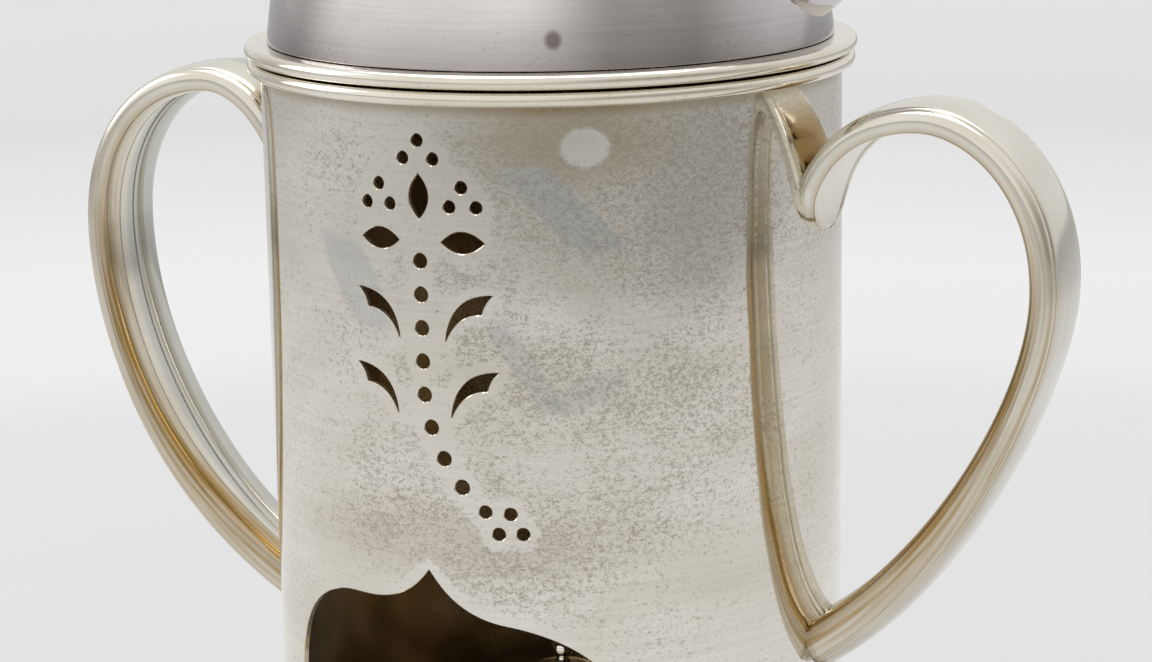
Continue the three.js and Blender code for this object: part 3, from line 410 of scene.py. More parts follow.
wall_silver = patina("sterling_silver_sheet_peppered", ("ece9e1", "dcd8cd", "a8a193", "a08c66"),
                     1.1, 0.06, 0.2, wall_marks)
mount_silver = patina("sterling_silver_mounts", ("eeeae0", "e0d9ca", "ab9d80", "97835c"),
                      0.5, 0.12, 0.1)
strap_silver = patina("sterling_silver_straps", ("eae7dd", "d8d4c5", "a39c88", "ab8b54"),
                      0.0, 0.16, 0.0, strap_marks)
kettle_silver = patina("sterling_silver_kettle", ("e6e3e4", "d2ced0", "99928f", "5f574f"),
                       0.3, 0.1, 0.22, kettle_marks, "85807e")
dark_silver = patina("sterling_silver_sulphided_inside", ("cbb48c", "a18a63", "665438", "50432f"),
                     0.6, 0.25)
lamp_silver = patina("sterling_silver_lamp_tarnished", ("d9d0bb", "bcae90", "8c7c5a", "6d5c3d"),
                     0.5, 0.16, 0.2)
silvers = (wall_silver, mount_silver, strap_silver, kettle_silver, dark_silver, lamp_silver)
print("silver:", ", ".join(m.name for m in silvers))

# %% [markdown]
# ## Ebonised wood and cotton
# The grip and the knob keep the hand off hot silver. They are turned from fruitwood, stained black and
# waxed, so the grain shows only as faint streaks in the gloss. The wick is plaited cotton.

# %% Wood and wick
ebonised_wood = bpy.data.materials.new("ebonised_fruitwood_waxed")
add = blank(ebonised_wood)
# Growth rings 1.5 mm apart run along the grip, which lies along X.
along_grain = add("Mapping", {"Vector": add("TexCoord").outputs["Object"], "Scale": (0.06, 1.0, 1.0)})
grain = add("TexNoise", {"Vector": along_grain, "Scale": 650.0, "Detail": 6.0, "Roughness": 0.6})
tone = add("ValToRGB", [grain], [(0.3, "120d0a"), (0.55, "21170f"), (0.8, "35261a")])
pores = add("Bump", {"Height": grain, "Strength": 0.25, "Distance": 0.0001})
gloss = add("MapRange", [grain, 0.3, 0.8, 0.28, 0.42])
shader = add("BsdfPrincipled", {"Base Color": tone, "Roughness": gloss, "IOR": 1.5, "Normal": pores})
add("OutputMaterial", [shader])

cotton = bpy.data.materials.new("plaited_cotton_wick")
add = blank(cotton)
place = add("TexCoord").outputs["Object"]
# Strands 0.7 mm wide cross on the slant; two waves turned against each other make the plait.
strands = []
for slant in (0.7, -0.7):
    slanted = add("Mapping", {"Vector": place, "Rotation": (slant, 0.0, slant)})
    strands.append(add("TexWave", {"Vector": slanted, "Scale": 230.0, "Distortion": 1.5, "Detail": 2.0},
                       bands_direction="Z").outputs["Fac"])
plait = add("Math MAXIMUM", strands)
tone = add("ValToRGB", [plait], [(0.2, "a79a80"), (0.9, "ece5d3")])
fibres = add("Bump", {"Height": plait, "Strength": 0.6, "Distance": 0.0003})
shader = add("BsdfPrincipled", {"Base Color": tone, "Roughness": 0.95, "Sheen Weight": 0.3,
                                "Normal": fibres})
add("OutputMaterial", [shader])
print("wood:", ebonised_wood.name, "wick:", cotton.name)

# %% [markdown]
# ## From points to pieces
# Mirror-bright metal shows every facet and every wrong shading direction, so most meshes here get
# their own normals, worked out from the true curve instead of from the triangles. One function
# turns points in millimetres into a piece, hides the CAD solid that it stands for, and lets it ride
# on the right body.


def body_of(name):
    """The body that a CAD node rides on."""
    bodies = frame["record"]["behaviour"]["bodies"]
    return next(body for body, nodes in bodies.items() if name in nodes)


def piece(stands_for, points, faces, material, normals=None, corner_normals=None):
    """Makes the mesh that replaces one CAD node. Points are in millimetres."""
    mesh = bpy.data.meshes.new("fine_" + stands_for)
    mesh.from_pydata((np.asarray(points) * MM).tolist(), [], [list(f) for f in faces])
    mesh.polygons.foreach_set("use_smooth", [True] * len(mesh.polygons))
    mesh.materials.append(material)
    if normals is not None:
        mesh.normals_split_custom_set_from_vertices(np.asarray(normals).tolist())
    if corner_normals is not None:
        mesh.normals_split_custom_set(np.asarray(corner_normals).tolist())
    mesh.validate()
    made = placed("fine_" + stands_for, mesh)
    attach(made, body_of(stands_for))
    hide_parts(stands_for)
    print(f"{made.name}: {len(points)} points, {len(faces)} faces, {material.name}")
    return made


def stamp(made, **values):
    """Stores a number for each point of a piece, which its material can read."""
    for label, numbers in values.items():
        made.data.attributes.new(label, "FLOAT", "POINT").data.foreach_set("value", numbers)


# %% [markdown]
# ## Turned pieces
# Rims, foot, floor, kettle, lid and knob were raised or cast and then finished on the lathe. Each one
# is a profile swept round the axis. The profiles keep the CAD sizes, but every sharp corner is
# rounded by a small arc, because a corner on real silver always carries a thin bright line.

# %% Lathe
AROUND = 192          # steps round a large turned piece; 1.9 mm on the stand's wall
SMOOTH_BEND = 12.0    # degrees; a bend in a profile below this is part of a curve


def round_steps(count):
    """Angles of even steps round a circle."""
    return np.arange(count) * 2 * pi / count


def unit(rows):
    """Each row as a direction of length one."""
    return rows / np.linalg.norm(rows, axis=1)[:, None]


def twice_area(shape):
    """Twice the area inside a closed outline, below zero where it runs clockwise."""
    return np.sum(shape[:, 0] * np.roll(shape[:, 1], -1) - np.roll(shape[:, 0], -1) * shape[:, 1])


def softened(line, fillet, closed):
    """Rounds the corners of a profile. Gives its points and the outward direction at each."""
    points, ways = [], []
    for i, here in enumerate(line):
        before, after = here - line[i - 1], line[(i + 1) % len(line)] - here
        if not closed and i in (0, len(line) - 1):
            points.append(here)
            along_axis = (1.0, 0.0) if i == 0 else (-1.0, 0.0)
            ways.append(along_axis if here[0] < 1e-9 else after if i == 0 else before)
            continue
        lengths = np.linalg.norm(before), np.linalg.norm(after)
        one, two = before / lengths[0], after / lengths[1]
        bend = atan2(one[0] * two[1] - one[1] * two[0], float(one @ two))
        if abs(degrees(bend)) < SMOOTH_BEND:
            points.append(here)
            ways.append(one + two)
            continue
        cut = min(fillet * tan(abs(bend) / 2), 0.42 * min(lengths))
        start = here - one * cut
        centre = start + np.array([-one[1], one[0]]) * cut / tan(bend / 2)
        steps = max(3, ceil(abs(degrees(bend)) / 14))
        for angle in bend * np.arange(steps + 1) / steps:
            by = np.array([[cos(angle), -sin(angle)], [sin(angle), cos(angle)]])
            points.append(centre + by @ (start - centre))
            ways.append(by @ one)
    return np.asarray(points), unit(np.array([(way[1], -way[0]) for way in ways]))


def lathe(profile, fillet, closed, around):
    """Sweeps a profile of radii and heights round Z: points, faces and normals."""
    line = np.asarray(profile, float)
    line, outward = softened(line if twice_area(line) > 0 else line[::-1], fillet, closed)
    points, normals, rows = [], [], []
    for (radius, height), (out, lift) in zip(line, outward):
        if radius < 1e-9:
            rows.append([len(points)] * around)
            points.append((0, 0, height))
            normals.append((0, 0, copysign(1, lift)))
            continue
        rows.append(list(range(len(points), len(points) + around)))
        for a in round_steps(around):
            points.append((radius * cos(a), radius * sin(a), height))
            normals.append((out * cos(a), out * sin(a), lift))
    faces = []
    for one, two in zip(rows, rows[1:] + (rows[:1] if closed else [])):
        for j in range(around):
            m = (j + 1) % around
            # On the axis two corners are one point, and the face is a triangle.
            faces.append(list(dict.fromkeys((one[j], one[m], two[m], two[j]))))
    return points, faces, normals


def arc(radius, height, size, start, end, steps):
    """Points of a round stretch of a profile, from one angle to another in degrees."""
    angles = np.radians(np.linspace(start, end, steps + 1))
    return [(radius + size * cos(a), height + size * sin(a)) for a in angles]


def spun(angle, axis="Z"):
    """The matrix that turns by an angle in degrees."""
    return Matrix.Rotation(radians(angle), 4, axis)


def moved(points, matrix):
    """Points in millimetres, moved by a matrix that is also in millimetres."""
    return [tuple(matrix @ Vector(p)) for p in points]


def turned(name, material, level, profile, fillet, closed=False, around=64, place=None):
    """A turned piece. Its profile's heights count from a level, and a matrix can lay it down."""
    points, faces, normals = lathe([(r, level + z) for r, z in profile], fillet, closed, around)
    if place is not None:
        points, normals = moved(points, place), moved(normals, place.to_3x3())
    piece(name, points, faces, material, normals)


print("lathe ready,", AROUND, "steps round the large pieces")

# %% [markdown]
# ## Sizes of the stand
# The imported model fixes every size, and a lesson can't read its source, so the shared ones are named
# here once, in millimetres. Where pieces are soldered in the real stand, the CAD leaves a hair's
# gap between its solids; the visible pieces close it.

# %% Rim, foot and floor
STAND_HEIGHT = 178.0
STAND_RADIUS = 60.0
WALL_INSIDE = 58.8
RIM_BOTTOM = 175.0
RIM_INSIDE = 57.7
FOOT_HEIGHT = 9.3
FLOOR_TOP = 12.6
KETTLE_TURN = 7.6     # degrees by which the kettle sits turned
SOLDER = 0.3

low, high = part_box("stand_rim")
print("stand rim in the frame, mm:", [round(v / MM, 2) for v in (*low, *high)])


def half_round(inside, outside):
    """The profile of a half-round moulding, 3 mm high."""
    return [(inside, 0), *arc(outside - 1.5, 1.5, 1.5, -90, 90, 20), (inside, 3)]


turned("stand_rim", mount_silver, RIM_BOTTOM, half_round(RIM_INSIDE, 62.7), 0.35, True, AROUND)
outside, inside = STAND_RADIUS + 4.6, WALL_INSIDE - 1.5
foot = [(inside, 0), (outside - 1.2, 0), (outside, 1.2), (outside - 0.4, 3.2),
        *arc(outside - 0.6, FOOT_HEIGHT - 2.1, 2.6, 235, 170, 8), (STAND_RADIUS + 0.6, FOOT_HEIGHT),
        (inside, FOOT_HEIGHT)]
turned("foot_ring", mount_silver, 0, foot, 0.4, True, AROUND)
outside = WALL_INSIDE - SOLDER
plate = [(0, -1.2), (outside - 1.2, -1.2), (outside - 1.2, -3), (outside, -3), (outside, 0), (0, 0)]
turned("stand_floor", dark_silver, FLOOR_TOP, plate, 0.3, around=AROUND)

# %% [markdown]
# ## The pierced wall
# A silversmith drills and saws the flower through the flat sheet, files the edges, bends the sheet into
# a cylinder and solders it down the back. The mesh is made the same way: the outlines are drawn flat,
# the sheet between them is filled with well-shaped triangles, and the whole is wrapped round. Cutting
# holes from a cylinder with Booleans would leave long slivers that show up in a mirror. Each cut edge
# gets a filed chamfer.

# %% Outlines of the piercing
CUT_STEP = 0.45       # mm between points along a cut
CHAMFER = 0.18        # mm, where the file broke the edge


def curve(*control, steps):
    """Points along a curve that its control points pull, without its last point."""
    shares = np.arange(steps) / steps
    layer = [np.asarray(p, float)[None, :] * np.ones((steps, 1)) for p in control]
    while len(layer) > 1:
        layer = [a + (b - a) * shares[:, None] for a, b in zip(layer, layer[1:])]
    return layer[0]


def outline(start, *moves):
    """A closed outline of straight and curved moves, each a row of control points and an end."""
    parts, here = [], start
    for move in moves:
        control = [here, *move]
        length = sum(dist(a, b) for a, b in zip(control, control[1:]))
        parts.append(curve(*control, steps=max(2, round(length / CUT_STEP))))
        here = move[-1]
    return np.vstack(parts)


def drilled(across, down, radius):
    """A round hole."""
    angles = round_steps(max(20, round(2 * pi * radius / CUT_STEP)))
    return np.column_stack([across + radius * np.cos(angles), -down + radius * np.sin(angles)])


def leaf(across, down, is_upright):
    """A pointed oval, 8.9 mm long and 4.2 mm wide."""
    shape = outline((-4.45, 0), [(0, -4.2), (4.45, 0)], [(0, 4.2), (-4.45, 0)])
    if is_upright:
        shape = np.column_stack([-shape[:, 1], shape[:, 0]])
    return shape + (across, -down)


def horn(side, down, spread):
    """A curved leaf that springs from the stem, with a broad cut-off tip."""
    shape = outline((14.8, 0), [(5.6, -0.2), (4.9, -9.6)], [(7.2, -3.8), (12.4, -3.8)],
                    [(12.8, -1.6), (14.8, 0)])
    return np.column_stack([side * (shape[:, 0] + spread), shape[:, 1] - down])


TOP_HOLE = 9.8
cuts = [drilled(0, TOP_HOLE, 1.25), leaf(0, TOP_HOLE + 10.8, True)]
for side in (-1, 1):
    cuts += [drilled(side * across, TOP_HOLE + down, 1.25)
             for across, down in ((3.2, 3.5), (8.9, 8.8), (6.4, 12.6), (11.8, 12.6))]
    cuts += [leaf(side * 8.9, TOP_HOLE + 19.5, False), horn(side, 39.4, 0), horn(side, 54.5, 0.8)]
STEM_TOP, STEM_PITCH, STEM_STRAIGHT, STEM_CURL, STEM_HOLES = 33.2, 6.6, 22.8, 34.5, 9
for i in range(STEM_HOLES):
    bend = max(0.0, i * STEM_PITCH - STEM_STRAIGHT) / STEM_CURL
    across = STEM_CURL * (1 - cos(bend))
    down = STEM_TOP + min(i * STEM_PITCH, STEM_STRAIGHT) + STEM_CURL * sin(bend)
    cuts.append(drilled(across, down, 1.5 if i < STEM_HOLES - 1 else 1.3))
cuts += [drilled(across + x, down + z, 1.3) for x, z in ((5, 0.3), (2.6, 4.4), (7.4, 4.3))]

ARCH_HALF = STAND_RADIUS * asin((28 + 8.7) / STAND_RADIUS)
PEAK = -95.0
SILL = FLOOR_TOP - STAND_HEIGHT
left, right, spring = PEAK - 7.2, PEAK - 10.6, PEAK - 29
cuts.append(outline(
    (0, PEAK), [(-3.2, PEAK - 4.2), (-7, left), (-15, left)], [(-18, left)],
    [(-29, left), (-ARCH_HALF + 1, left - 7.8), (-ARCH_HALF, spring)], [(-ARCH_HALF, SILL + 6)],
    [(-ARCH_HALF, SILL), (-ARCH_HALF + 6, SILL)], [(ARCH_HALF - 6, SILL)],
    [(ARCH_HALF, SILL), (ARCH_HALF, SILL + 6)], [(ARCH_HALF, spring - 3)],
    [(ARCH_HALF, right - 9.4), (28, right - 2), (16, right)],
    [(7, right + 1.6), (3, PEAK - 4.4), (0, PEAK)]))
print(len(cuts), "cuts; the opening is", round(2 * ARCH_HALF, 1), "mm wide round the wall")

# %% [markdown]
# The flat sheet is filled from three kinds of points: its border and the cuts, an even grid, and rows
# alongside each cut, which let the clean border of a hole follow it closely.

# %% Fill the sheet
SHEET_TOP = RIM_BOTTOM + 0.2 - STAND_HEIGHT
SHEET_BOTTOM = FOOT_HEIGHT - 0.2 - STAND_HEIGHT
ROWS = 34
LONG_CUT = 200        # points; only the lamp's opening has more
half_way = pi * STAND_RADIUS
columns = -half_way + np.arange(AROUND + 1) * 2 * half_way / AROUND
levels = np.linspace(SHEET_BOTTOM, SHEET_TOP, ROWS + 1)


def cut_normals(shape):
    """The direction out of the metal and into the hole at each point of an outline."""
    mean = unit(np.roll(shape, -1, 0) - shape) + unit(shape - np.roll(shape, 1, 0))
    mean /= np.maximum(np.linalg.norm(mean, axis=1), 1e-6)[:, None]
    return np.column_stack([-mean[:, 1], mean[:, 0]])


def inside_of(shape, spots):
    """Which of the spots lie inside a closed outline."""
    result = np.zeros(len(spots), bool)
    for (x1, y1), (x2, y2) in zip(shape, np.roll(shape, -1, 0)):
        crosses = (y1 > spots[:, 1]) != (y2 > spots[:, 1])
        with np.errstate(divide="ignore", invalid="ignore"):
            result ^= crosses & (spots[:, 0] < (x2 - x1) * (spots[:, 1] - y1) / (y2 - y1) + x1)
    return result


def distance(spots, shape):
    """How far each spot is from the nearest point of an outline."""
    return np.linalg.norm(spots[:, None, :] - shape[None], axis=2).min(1)


# Every outline runs anticlockwise, so that its left side is the hole.
cuts = [c if twice_area(c) > 0 else c[::-1] for c in cuts]
into = [cut_normals(c) for c in cuts]
wide = [c - n * CHAMFER for c, n in zip(cuts, into)]

border = [(s, levels[0]) for s in columns] + [(columns[-1], z) for z in levels[1:]]
border += [(s, levels[-1]) for s in columns[-2::-1]] + [(columns[0], z) for z in levels[-2:0:-1]]
grid = np.array([(s, z) for s in columns[1:-1] for z in levels[1:-1]])
beside = np.vstack([(w - n * off)[::2] for w, n in zip(wide, into)
                    for off in ((1.2, 2.4, 4.2) if len(w) > LONG_CUT else (0.8,))])
for shape in wide:
    beside = beside[~(inside_of(shape, beside) | (distance(beside, shape) < 0.6))]
beside = beside[(beside[:, 1] > SHEET_BOTTOM + 0.5) & (beside[:, 1] < SHEET_TOP - 0.5)]
grid = grid[distance(grid, beside) > 0.9]
keep = np.ones(len(grid), bool)
for shape in wide:
    near = (np.abs(grid - shape.mean(0)) < np.ptp(shape, axis=0) / 2 + 1.5).all(1)
    if near.any():
        keep[near] &= distance(grid[near], shape) >= 0.8
    keep &= ~inside_of(shape, grid)
rings, spots = [list(range(len(border)))], list(border)
for shape in wide:
    rings.append(list(range(len(spots), len(spots) + len(shape))))
    spots += [tuple(p) for p in shape]
spots += [tuple(p) for p in (*grid[keep], *beside)]
edges = [(ring[i - 1], ring[i]) for ring in rings for i in range(len(ring))]
filled = delaunay_2d_cdt([Vector(p) for p in spots], edges, [], 0, 1e-5)
flat_points = np.array([tuple(v) for v in filled[0]])
triangles = np.array(filled[2])
for shape in wide:
    triangles = triangles[~inside_of(shape, flat_points[triangles].mean(1))]
one, two, three = (flat_points[triangles[:, i]] for i in range(3))
clockwise = np.cross(two - one, three - one) < 0
triangles[clockwise] = triangles[clockwise][:, ::-1]
print("flat sheet:", len(flat_points), "points,", len(triangles), "triangles; points kept in order:",
      len(flat_points) == len(spots))

# %% [markdown]
# The filled sheet is wrapped twice, as the outer and the inner skin. Strips join the skins through
# each cut, with a chamfer on both sides, and a last row closes the sheet at the top and bottom.

# %% Bend the sheet and close its edges
def wrapped(flat, radius):
    """Points of the flat sheet, wrapped round the axis."""
    angles = flat[:, 0] / STAND_RADIUS
    height = STAND_HEIGHT + flat[:, 1]
    return np.column_stack([radius * np.sin(angles), -radius * np.cos(angles), height])


def wrapped_way(flat, ways, outwards):
    """A direction on the sheet, and how far it leans outwards, as a direction in space."""
    angles = flat[:, 0] / STAND_RADIUS
    level, radial = (np.column_stack([x, y, 0 * x]) for x, y in (
        (np.cos(angles), np.sin(angles)), (np.sin(angles), -np.cos(angles))))
    return unit(ways[:, :1] * level + ways[:, 1:] * (0, 0, 1) + outwards * radial)


space, wall_faces, loops = [], [], []


def add_points(flat, radius):
    """Wraps points, adds them to the wall and gives their numbers."""
    start = sum(len(some) for some in space)
    space.append(wrapped(flat, radius))
    return np.arange(start, start + len(flat)).tolist()


def add_skin(radius, outwards):
    """Adds the filled sheet as a skin that faces outwards or inwards."""
    numbers = add_points(flat_points, radius)
    ways = wrapped_way(flat_points, np.zeros_like(flat_points), outwards)
    for face in (triangles if outwards > 0 else triangles[:, ::-1]).tolist():
        wall_faces.append([numbers[i] for i in face])
        loops.extend(ways[i] for i in face)
    return numbers


outer = add_skin(STAND_RADIUS, 1.0)
inner = add_skin(WALL_INSIDE, -1.0)
for ring, shape, into_hole in zip(rings[1:], cuts, into):
    rows = [[outer[i] for i in ring], add_points(shape, STAND_RADIUS - CHAMFER),
            add_points(shape, WALL_INSIDE + CHAMFER), [inner[i] for i in ring]]
    for one, two, lean in zip(rows, rows[1:], (1.0, 0.0, -1.0)):
        ways = wrapped_way(shape, into_hole, lean)
        for i in range(len(ring)):
            k = (i + 1) % len(ring)
            wall_faces.append((one[i], one[k], two[k], two[i]))
            loops.extend((ways[i], ways[k], ways[k], ways[i]))
for first, sign in ((0, -1.0), (AROUND + ROWS, 1.0)):
    for a in range(first, first + AROUND):
        wall_faces.append((outer[a + 1], outer[a], inner[a], inner[a + 1]))
        loops.extend([(0.0, 0.0, sign)] * 4)

# The two ends of the sheet meet at the back, where the seam is soldered: their points become one.
every = np.vstack(space)
_, first, same = np.unique(np.round(every, 5), axis=0, return_index=True, return_inverse=True)
same = same.reshape(-1)
wall_faces = [tuple(int(same[i]) for i in f) for f in wall_faces]
wall = piece("stand_body", every[first], wall_faces, wall_silver, corner_normals=loops)
in_cuts = len(every) - 2 * len(flat_points)
gap = distance(flat_points, np.vstack(wide)) / 5.0
stamp(wall, gap=np.minimum(np.concatenate([gap, gap, np.zeros(in_cuts)])[first], 1.0),
      hidden=np.repeat([0.0, 1.0, 0.6], [len(flat_points), len(flat_points), in_cuts])[first])
pairs = np.sort([(f[i - 1], f[i]) for f in wall_faces for i in range(len(f))], axis=1)
uses = np.unique(pairs, axis=0, return_counts=True)[1]
print("edges of the wall that don't have two faces:", int((uses != 2).sum()))

# %% [markdown]
# ## The strap handles
# Each handle is a strap, forged with a low bead along both edges of its inner face, upright sides and a
# crown outside, with a groove filed below the crown. It leaves the wall in a rounded tongue, rises over
# a crest and tapers down to the wall again. A curve with a bevel would give one section all the way, so
# the section is drawn at each of 171 stations and the stations are skinned.

# %% Helpers for bent pieces
def smooth_between(stations, progress):
    """A value that runs smoothly through stations written as (progress, value)."""
    i = min(max(int(np.searchsorted([s[0] for s in stations], progress)) - 1, 0), len(stations) - 2)
    (start, low), (end, high) = stations[i], stations[i + 1]
    x = min(max((progress - start) / (end - start), 0), 1)
    return low + (high - low) * x * x * (3 - 2 * x)


def stations_along(line, steps):
    """Runs down curves of four points that share their ends. Gives the curve's number, the share of
    it, the point and the direction."""
    for part, count in enumerate(steps):
        a, b, c, d = np.array(line[3 * part:3 * part + 4], float)
        for i in range(0 if part == 0 else 1, count + 1):
            t = i / count
            s = 1 - t
            here = s ** 3 * a + 3 * s ** 2 * t * b + 3 * s * t * t * c + t ** 3 * d
            way = s ** 2 * (b - a) + 2 * s * t * (c - b) + t * t * (d - c)
            yield part, t, here, way / np.linalg.norm(way)


def skin(rings, around, closed=False):
    """Faces between rings of points, which all have the same number of points."""
    faces = []
    for i in range(rings if closed else rings - 1):
        one, two = i * around, (i + 1) % rings * around
        faces += [(one + k, one + (k + 1) % around, two + (k + 1) % around, two + k)
                  for k in range(around)]
    return faces


def ends(count, around):
    """The two end faces of a skin with this many points."""
    return [tuple(range(around)), tuple(range(count - 1, count - 1 - around, -1))]


print("a tube of 3 rings of 8 points has", len(skin(3, 8) + ends(24, 8)), "faces with its two ends")


# %% [markdown]
# Both straps were bent by hand and aren't alike, so each has a line of its own. Their sizes change
# from the tongue to the foot. Each point also keeps how far round the section and how far along the
# strap it lies and which side is in front, because the brown film and the painted shade follow them.

# %% Handle
WIDTHS = [(0, 21.1), (0.33, 20.3), (0.8, 20.3), (1, 16.8)]
SIDES = [(0, 4.1), (0.75, 4.1), (1, 6.4)]
CROWNS = [(0, 0.82), (0.75, 0.82), (1, 2.0)]
SWELL = 0.35
# The beads start as a thin rim round the tongue and grow broad and worn lower down.
BEAD_WIDTHS = [(0, 1.4), (0.2, 2.2), (0.42, 7.4), (1, 6.8)]
BEAD_HEIGHTS = [(0, 0.35), (0.2, 0.5), (0.42, 1.2), (0.8, 1.6)]
# Each line is three curves, which share their end points: (outwards, down from the rim).
RIGHT_LINE = [(61.4, 33.6), (61.4, 16.1), (74.7, 11.3), (83.1, 11.3), (92.7, 11.3), (106.6, 21.7),
              (106.6, 42.5), (106.6, 63.4), (86.8, 98.9), (58.0, 117.8)]
LEFT_LINE = [(61.4, 33.6), (61.4, 21.1), (70.2, 10.2), (78.6, 10.2), (95.3, 10.2), (106.6, 23.9),
             (106.6, 42.5), (106.6, 70.6), (91.0, 102.5), (58.0, 120.0)]
TONGUE_DROP = 33.6
TONGUE_LENGTH = 9.0


def handle_section(half_width, side, crown, bead_width, bead_height):
    """Half of the section, from the middle of the inner face to the crest: (across, outwards, band)."""
    fine = min(1.0, half_width / 6)
    fillet, half_bead, upright = 1.5 * fine, bead_width / 2 * fine, side - 2.2 * fine
    row = [((half_width - 2 * half_bead) * s, 0.0, 0.08 * s) for s in (0, 0.3, 0.6, 0.85, 0.96)]
    # A low round bead runs along each edge of the inner face.
    row += [(half_width - half_bead - half_bead * cos(a), -bead_height * fine * sin(a),
             0.1 + 0.15 * a / pi)
            for a in np.radians((0, 10, 25, 45, 70, 95, 120, 140, 155, 168, 180))]
    # The side swells by 0.35 mm and turns over into a rounded edge.
    row += [(half_width + SWELL * fine * sin(pi / 2 * s), upright * s, 0.25 + 0.1 * s)
            for s in (0.25, 0.5, 0.75)]
    row += [(half_width - fillet + (fillet + SWELL * fine) * cos(a),
             side - 2.2 * fine * (1 - sin(a)), 0.35 + 0.1 * a)
            for a in np.radians(range(0, 91, 15))]
    # A filed groove 0.3 mm deep parts the rounded edge from the crown.
    row += [(half_width - fillet - x * fine, side - y * fine, 0.55)
            for x, y in ((0.12, 0.06), (0.24, 0.22), (0.36, 0.3), (0.48, 0.24), (0.62, 0.06))]
    edge = half_width - fillet - 0.75 * fine
    row += [(edge * cos(a), side + crown * sin(a), 0.6 + 0.4 * sin(a))
            for a in np.radians(np.linspace(4, 90, 15))]
    return row


def handle(name, line, turned_round):
    """One handle. The left one is drawn on the right and turned half round."""
    points, marks = [], []
    for part, t, here, way in stations_along(line, (60, 52, 58)):
        progress = (part + t) / 3
        tongue = min(1.0, (TONGUE_DROP - here[1]) / TONGUE_LENGTH) if progress < 0.33 else 1.0
        width, *sizes = (smooth_between(stations, progress)
                         for stations in (WIDTHS, SIDES, CROWNS, BEAD_WIDTHS, BEAD_HEIGHTS))
        half_row = handle_section(width / 2 * sqrt(max(0.004, 1 - (1 - tongue) ** 2)), *sizes)
        row = half_row + [(-a, o, b) for a, o, b in half_row[-2:0:-1]]
        hug = max(0.0, 1 - progress / 0.25)
        for across, out, band in row:
            lift = out + (STAND_RADIUS - sqrt(STAND_RADIUS ** 2 - across ** 2)) * hug
            x = here[0] + way[1] * lift
            # What would sink through the wall stops just under its skin, where the solder is.
            pull = max(1.0, (STAND_RADIUS - 0.15) / hypot(x, across))
            points.append((x * pull, across * pull, STAND_HEIGHT - here[1] + way[0] * lift))
            marks.append((band, progress,
                          0.5 if abs(across) < 0.01 else float((across < 0) != turned_round)))
    around = len(row)
    faces = [(a, d, c, b) for a, b, c, d in skin(len(points) // around, around)]
    points = np.array(points)
    if turned_round:
        points[:, :2] *= -1
    made = piece(name, points, faces + ends(len(points), around), strap_silver)
    bands, shares, fronts = zip(*marks)
    # The left strap's inner face gets little film and painted grey shade instead; the right one gets
    # the film.
    stamp(made, band=bands, share=shares, front=fronts,
          inner_film=[0.1 if turned_round else 1.0] * len(points))


handle("handle_right", RIGHT_LINE, False)
handle("handle_left", LEFT_LINE, True)

# %% [markdown]
# ## The kettle's body
# The kettle is a cone of sheet silver with a half-round flange round its foot, a pan let into the
# bottom and a low domed shoulder up to the neck. All of it is round, so all of it is turned.

# %% Kettle body
FLANGE_BOTTOM = STAND_HEIGHT + SOLDER
KETTLE_FOOT = FLANGE_BOTTOM + 3 + SOLDER
KETTLE_TOP = KETTLE_FOOT + 84
SLOPE = tan(radians(7.5))
KETTLE_RADIUS = 58.5
TOP_RADIUS = KETTLE_RADIUS - 84 * SLOPE
SHOULDER_BOTTOM = KETTLE_TOP + SOLDER
COLLAR_TOP = SHOULDER_BOTTOM + 9.5
COLLAR_RADIUS = 30.0
BASE_RADIUS = min(RIM_INSIDE - 0.8, KETTLE_RADIUS - 4 * SLOPE - 1.1 - SOLDER)


def wall_radius(height):
    """The radius of the kettle's wall at a height."""
    return KETTLE_RADIUS - (height - KETTLE_FOOT) * SLOPE


flange = half_round(BASE_RADIUS + SOLDER, 63.1)
turned("kettle_flange", mount_silver, FLANGE_BOTTOM, flange, 0.35, True, AROUND)
shell = [(KETTLE_RADIUS - 1.1, -0.2), (KETTLE_RADIUS, -0.2),
         *[(KETTLE_RADIUS - z * SLOPE, z) for z in np.linspace(0.6, 84, 10)], (TOP_RADIUS - 1.1, 84)]
turned("kettle_wall", kettle_silver, KETTLE_FOOT, shell, 0.25, True, AROUND)
pan = [(0, 1.2), (BASE_RADIUS - 7, 0), (BASE_RADIUS - 1.2, 0), (BASE_RADIUS, 1.2), (BASE_RADIUS, 12.3),
       (BASE_RADIUS - 1.2, 12.3), (BASE_RADIUS - 1.2, 1.2), (0, 2.4)]
turned("kettle_base", dark_silver, FLANGE_BOTTOM - 5, pan, 0.6, around=AROUND)
start = TOP_RADIUS - 3
run = start - COLLAR_RADIUS - 1.6
dome = [(start - run * s, 1.6 + 4.3 * sin(radians(s * 80))) for s in np.linspace(0.08, 1, 14)]
shoulder = [(COLLAR_RADIUS - 1.2, 5.1), (TOP_RADIUS - 1.1, -0.1), (TOP_RADIUS + 0.2, -0.1),
            (TOP_RADIUS + 0.9, 1.1), (TOP_RADIUS + 0.2, 2.3), (start, 1.6), *dome,
            (COLLAR_RADIUS, 6.6), (COLLAR_RADIUS, 9.5), (COLLAR_RADIUS - 1.2, 9.5)]
turned("kettle_shoulder", kettle_silver, SHOULDER_BOTTOM, shoulder, 0.5, True, AROUND)

# %% [markdown]
# ## The spout
# The spout is raised from one sheet: very broad at the root, where it covers half of the wall's height,
# and drawn to a small round mouth level with the kettle's top. Seven keys give its middle, slimming
# and tilt, and a spline through them is skinned inside and out.

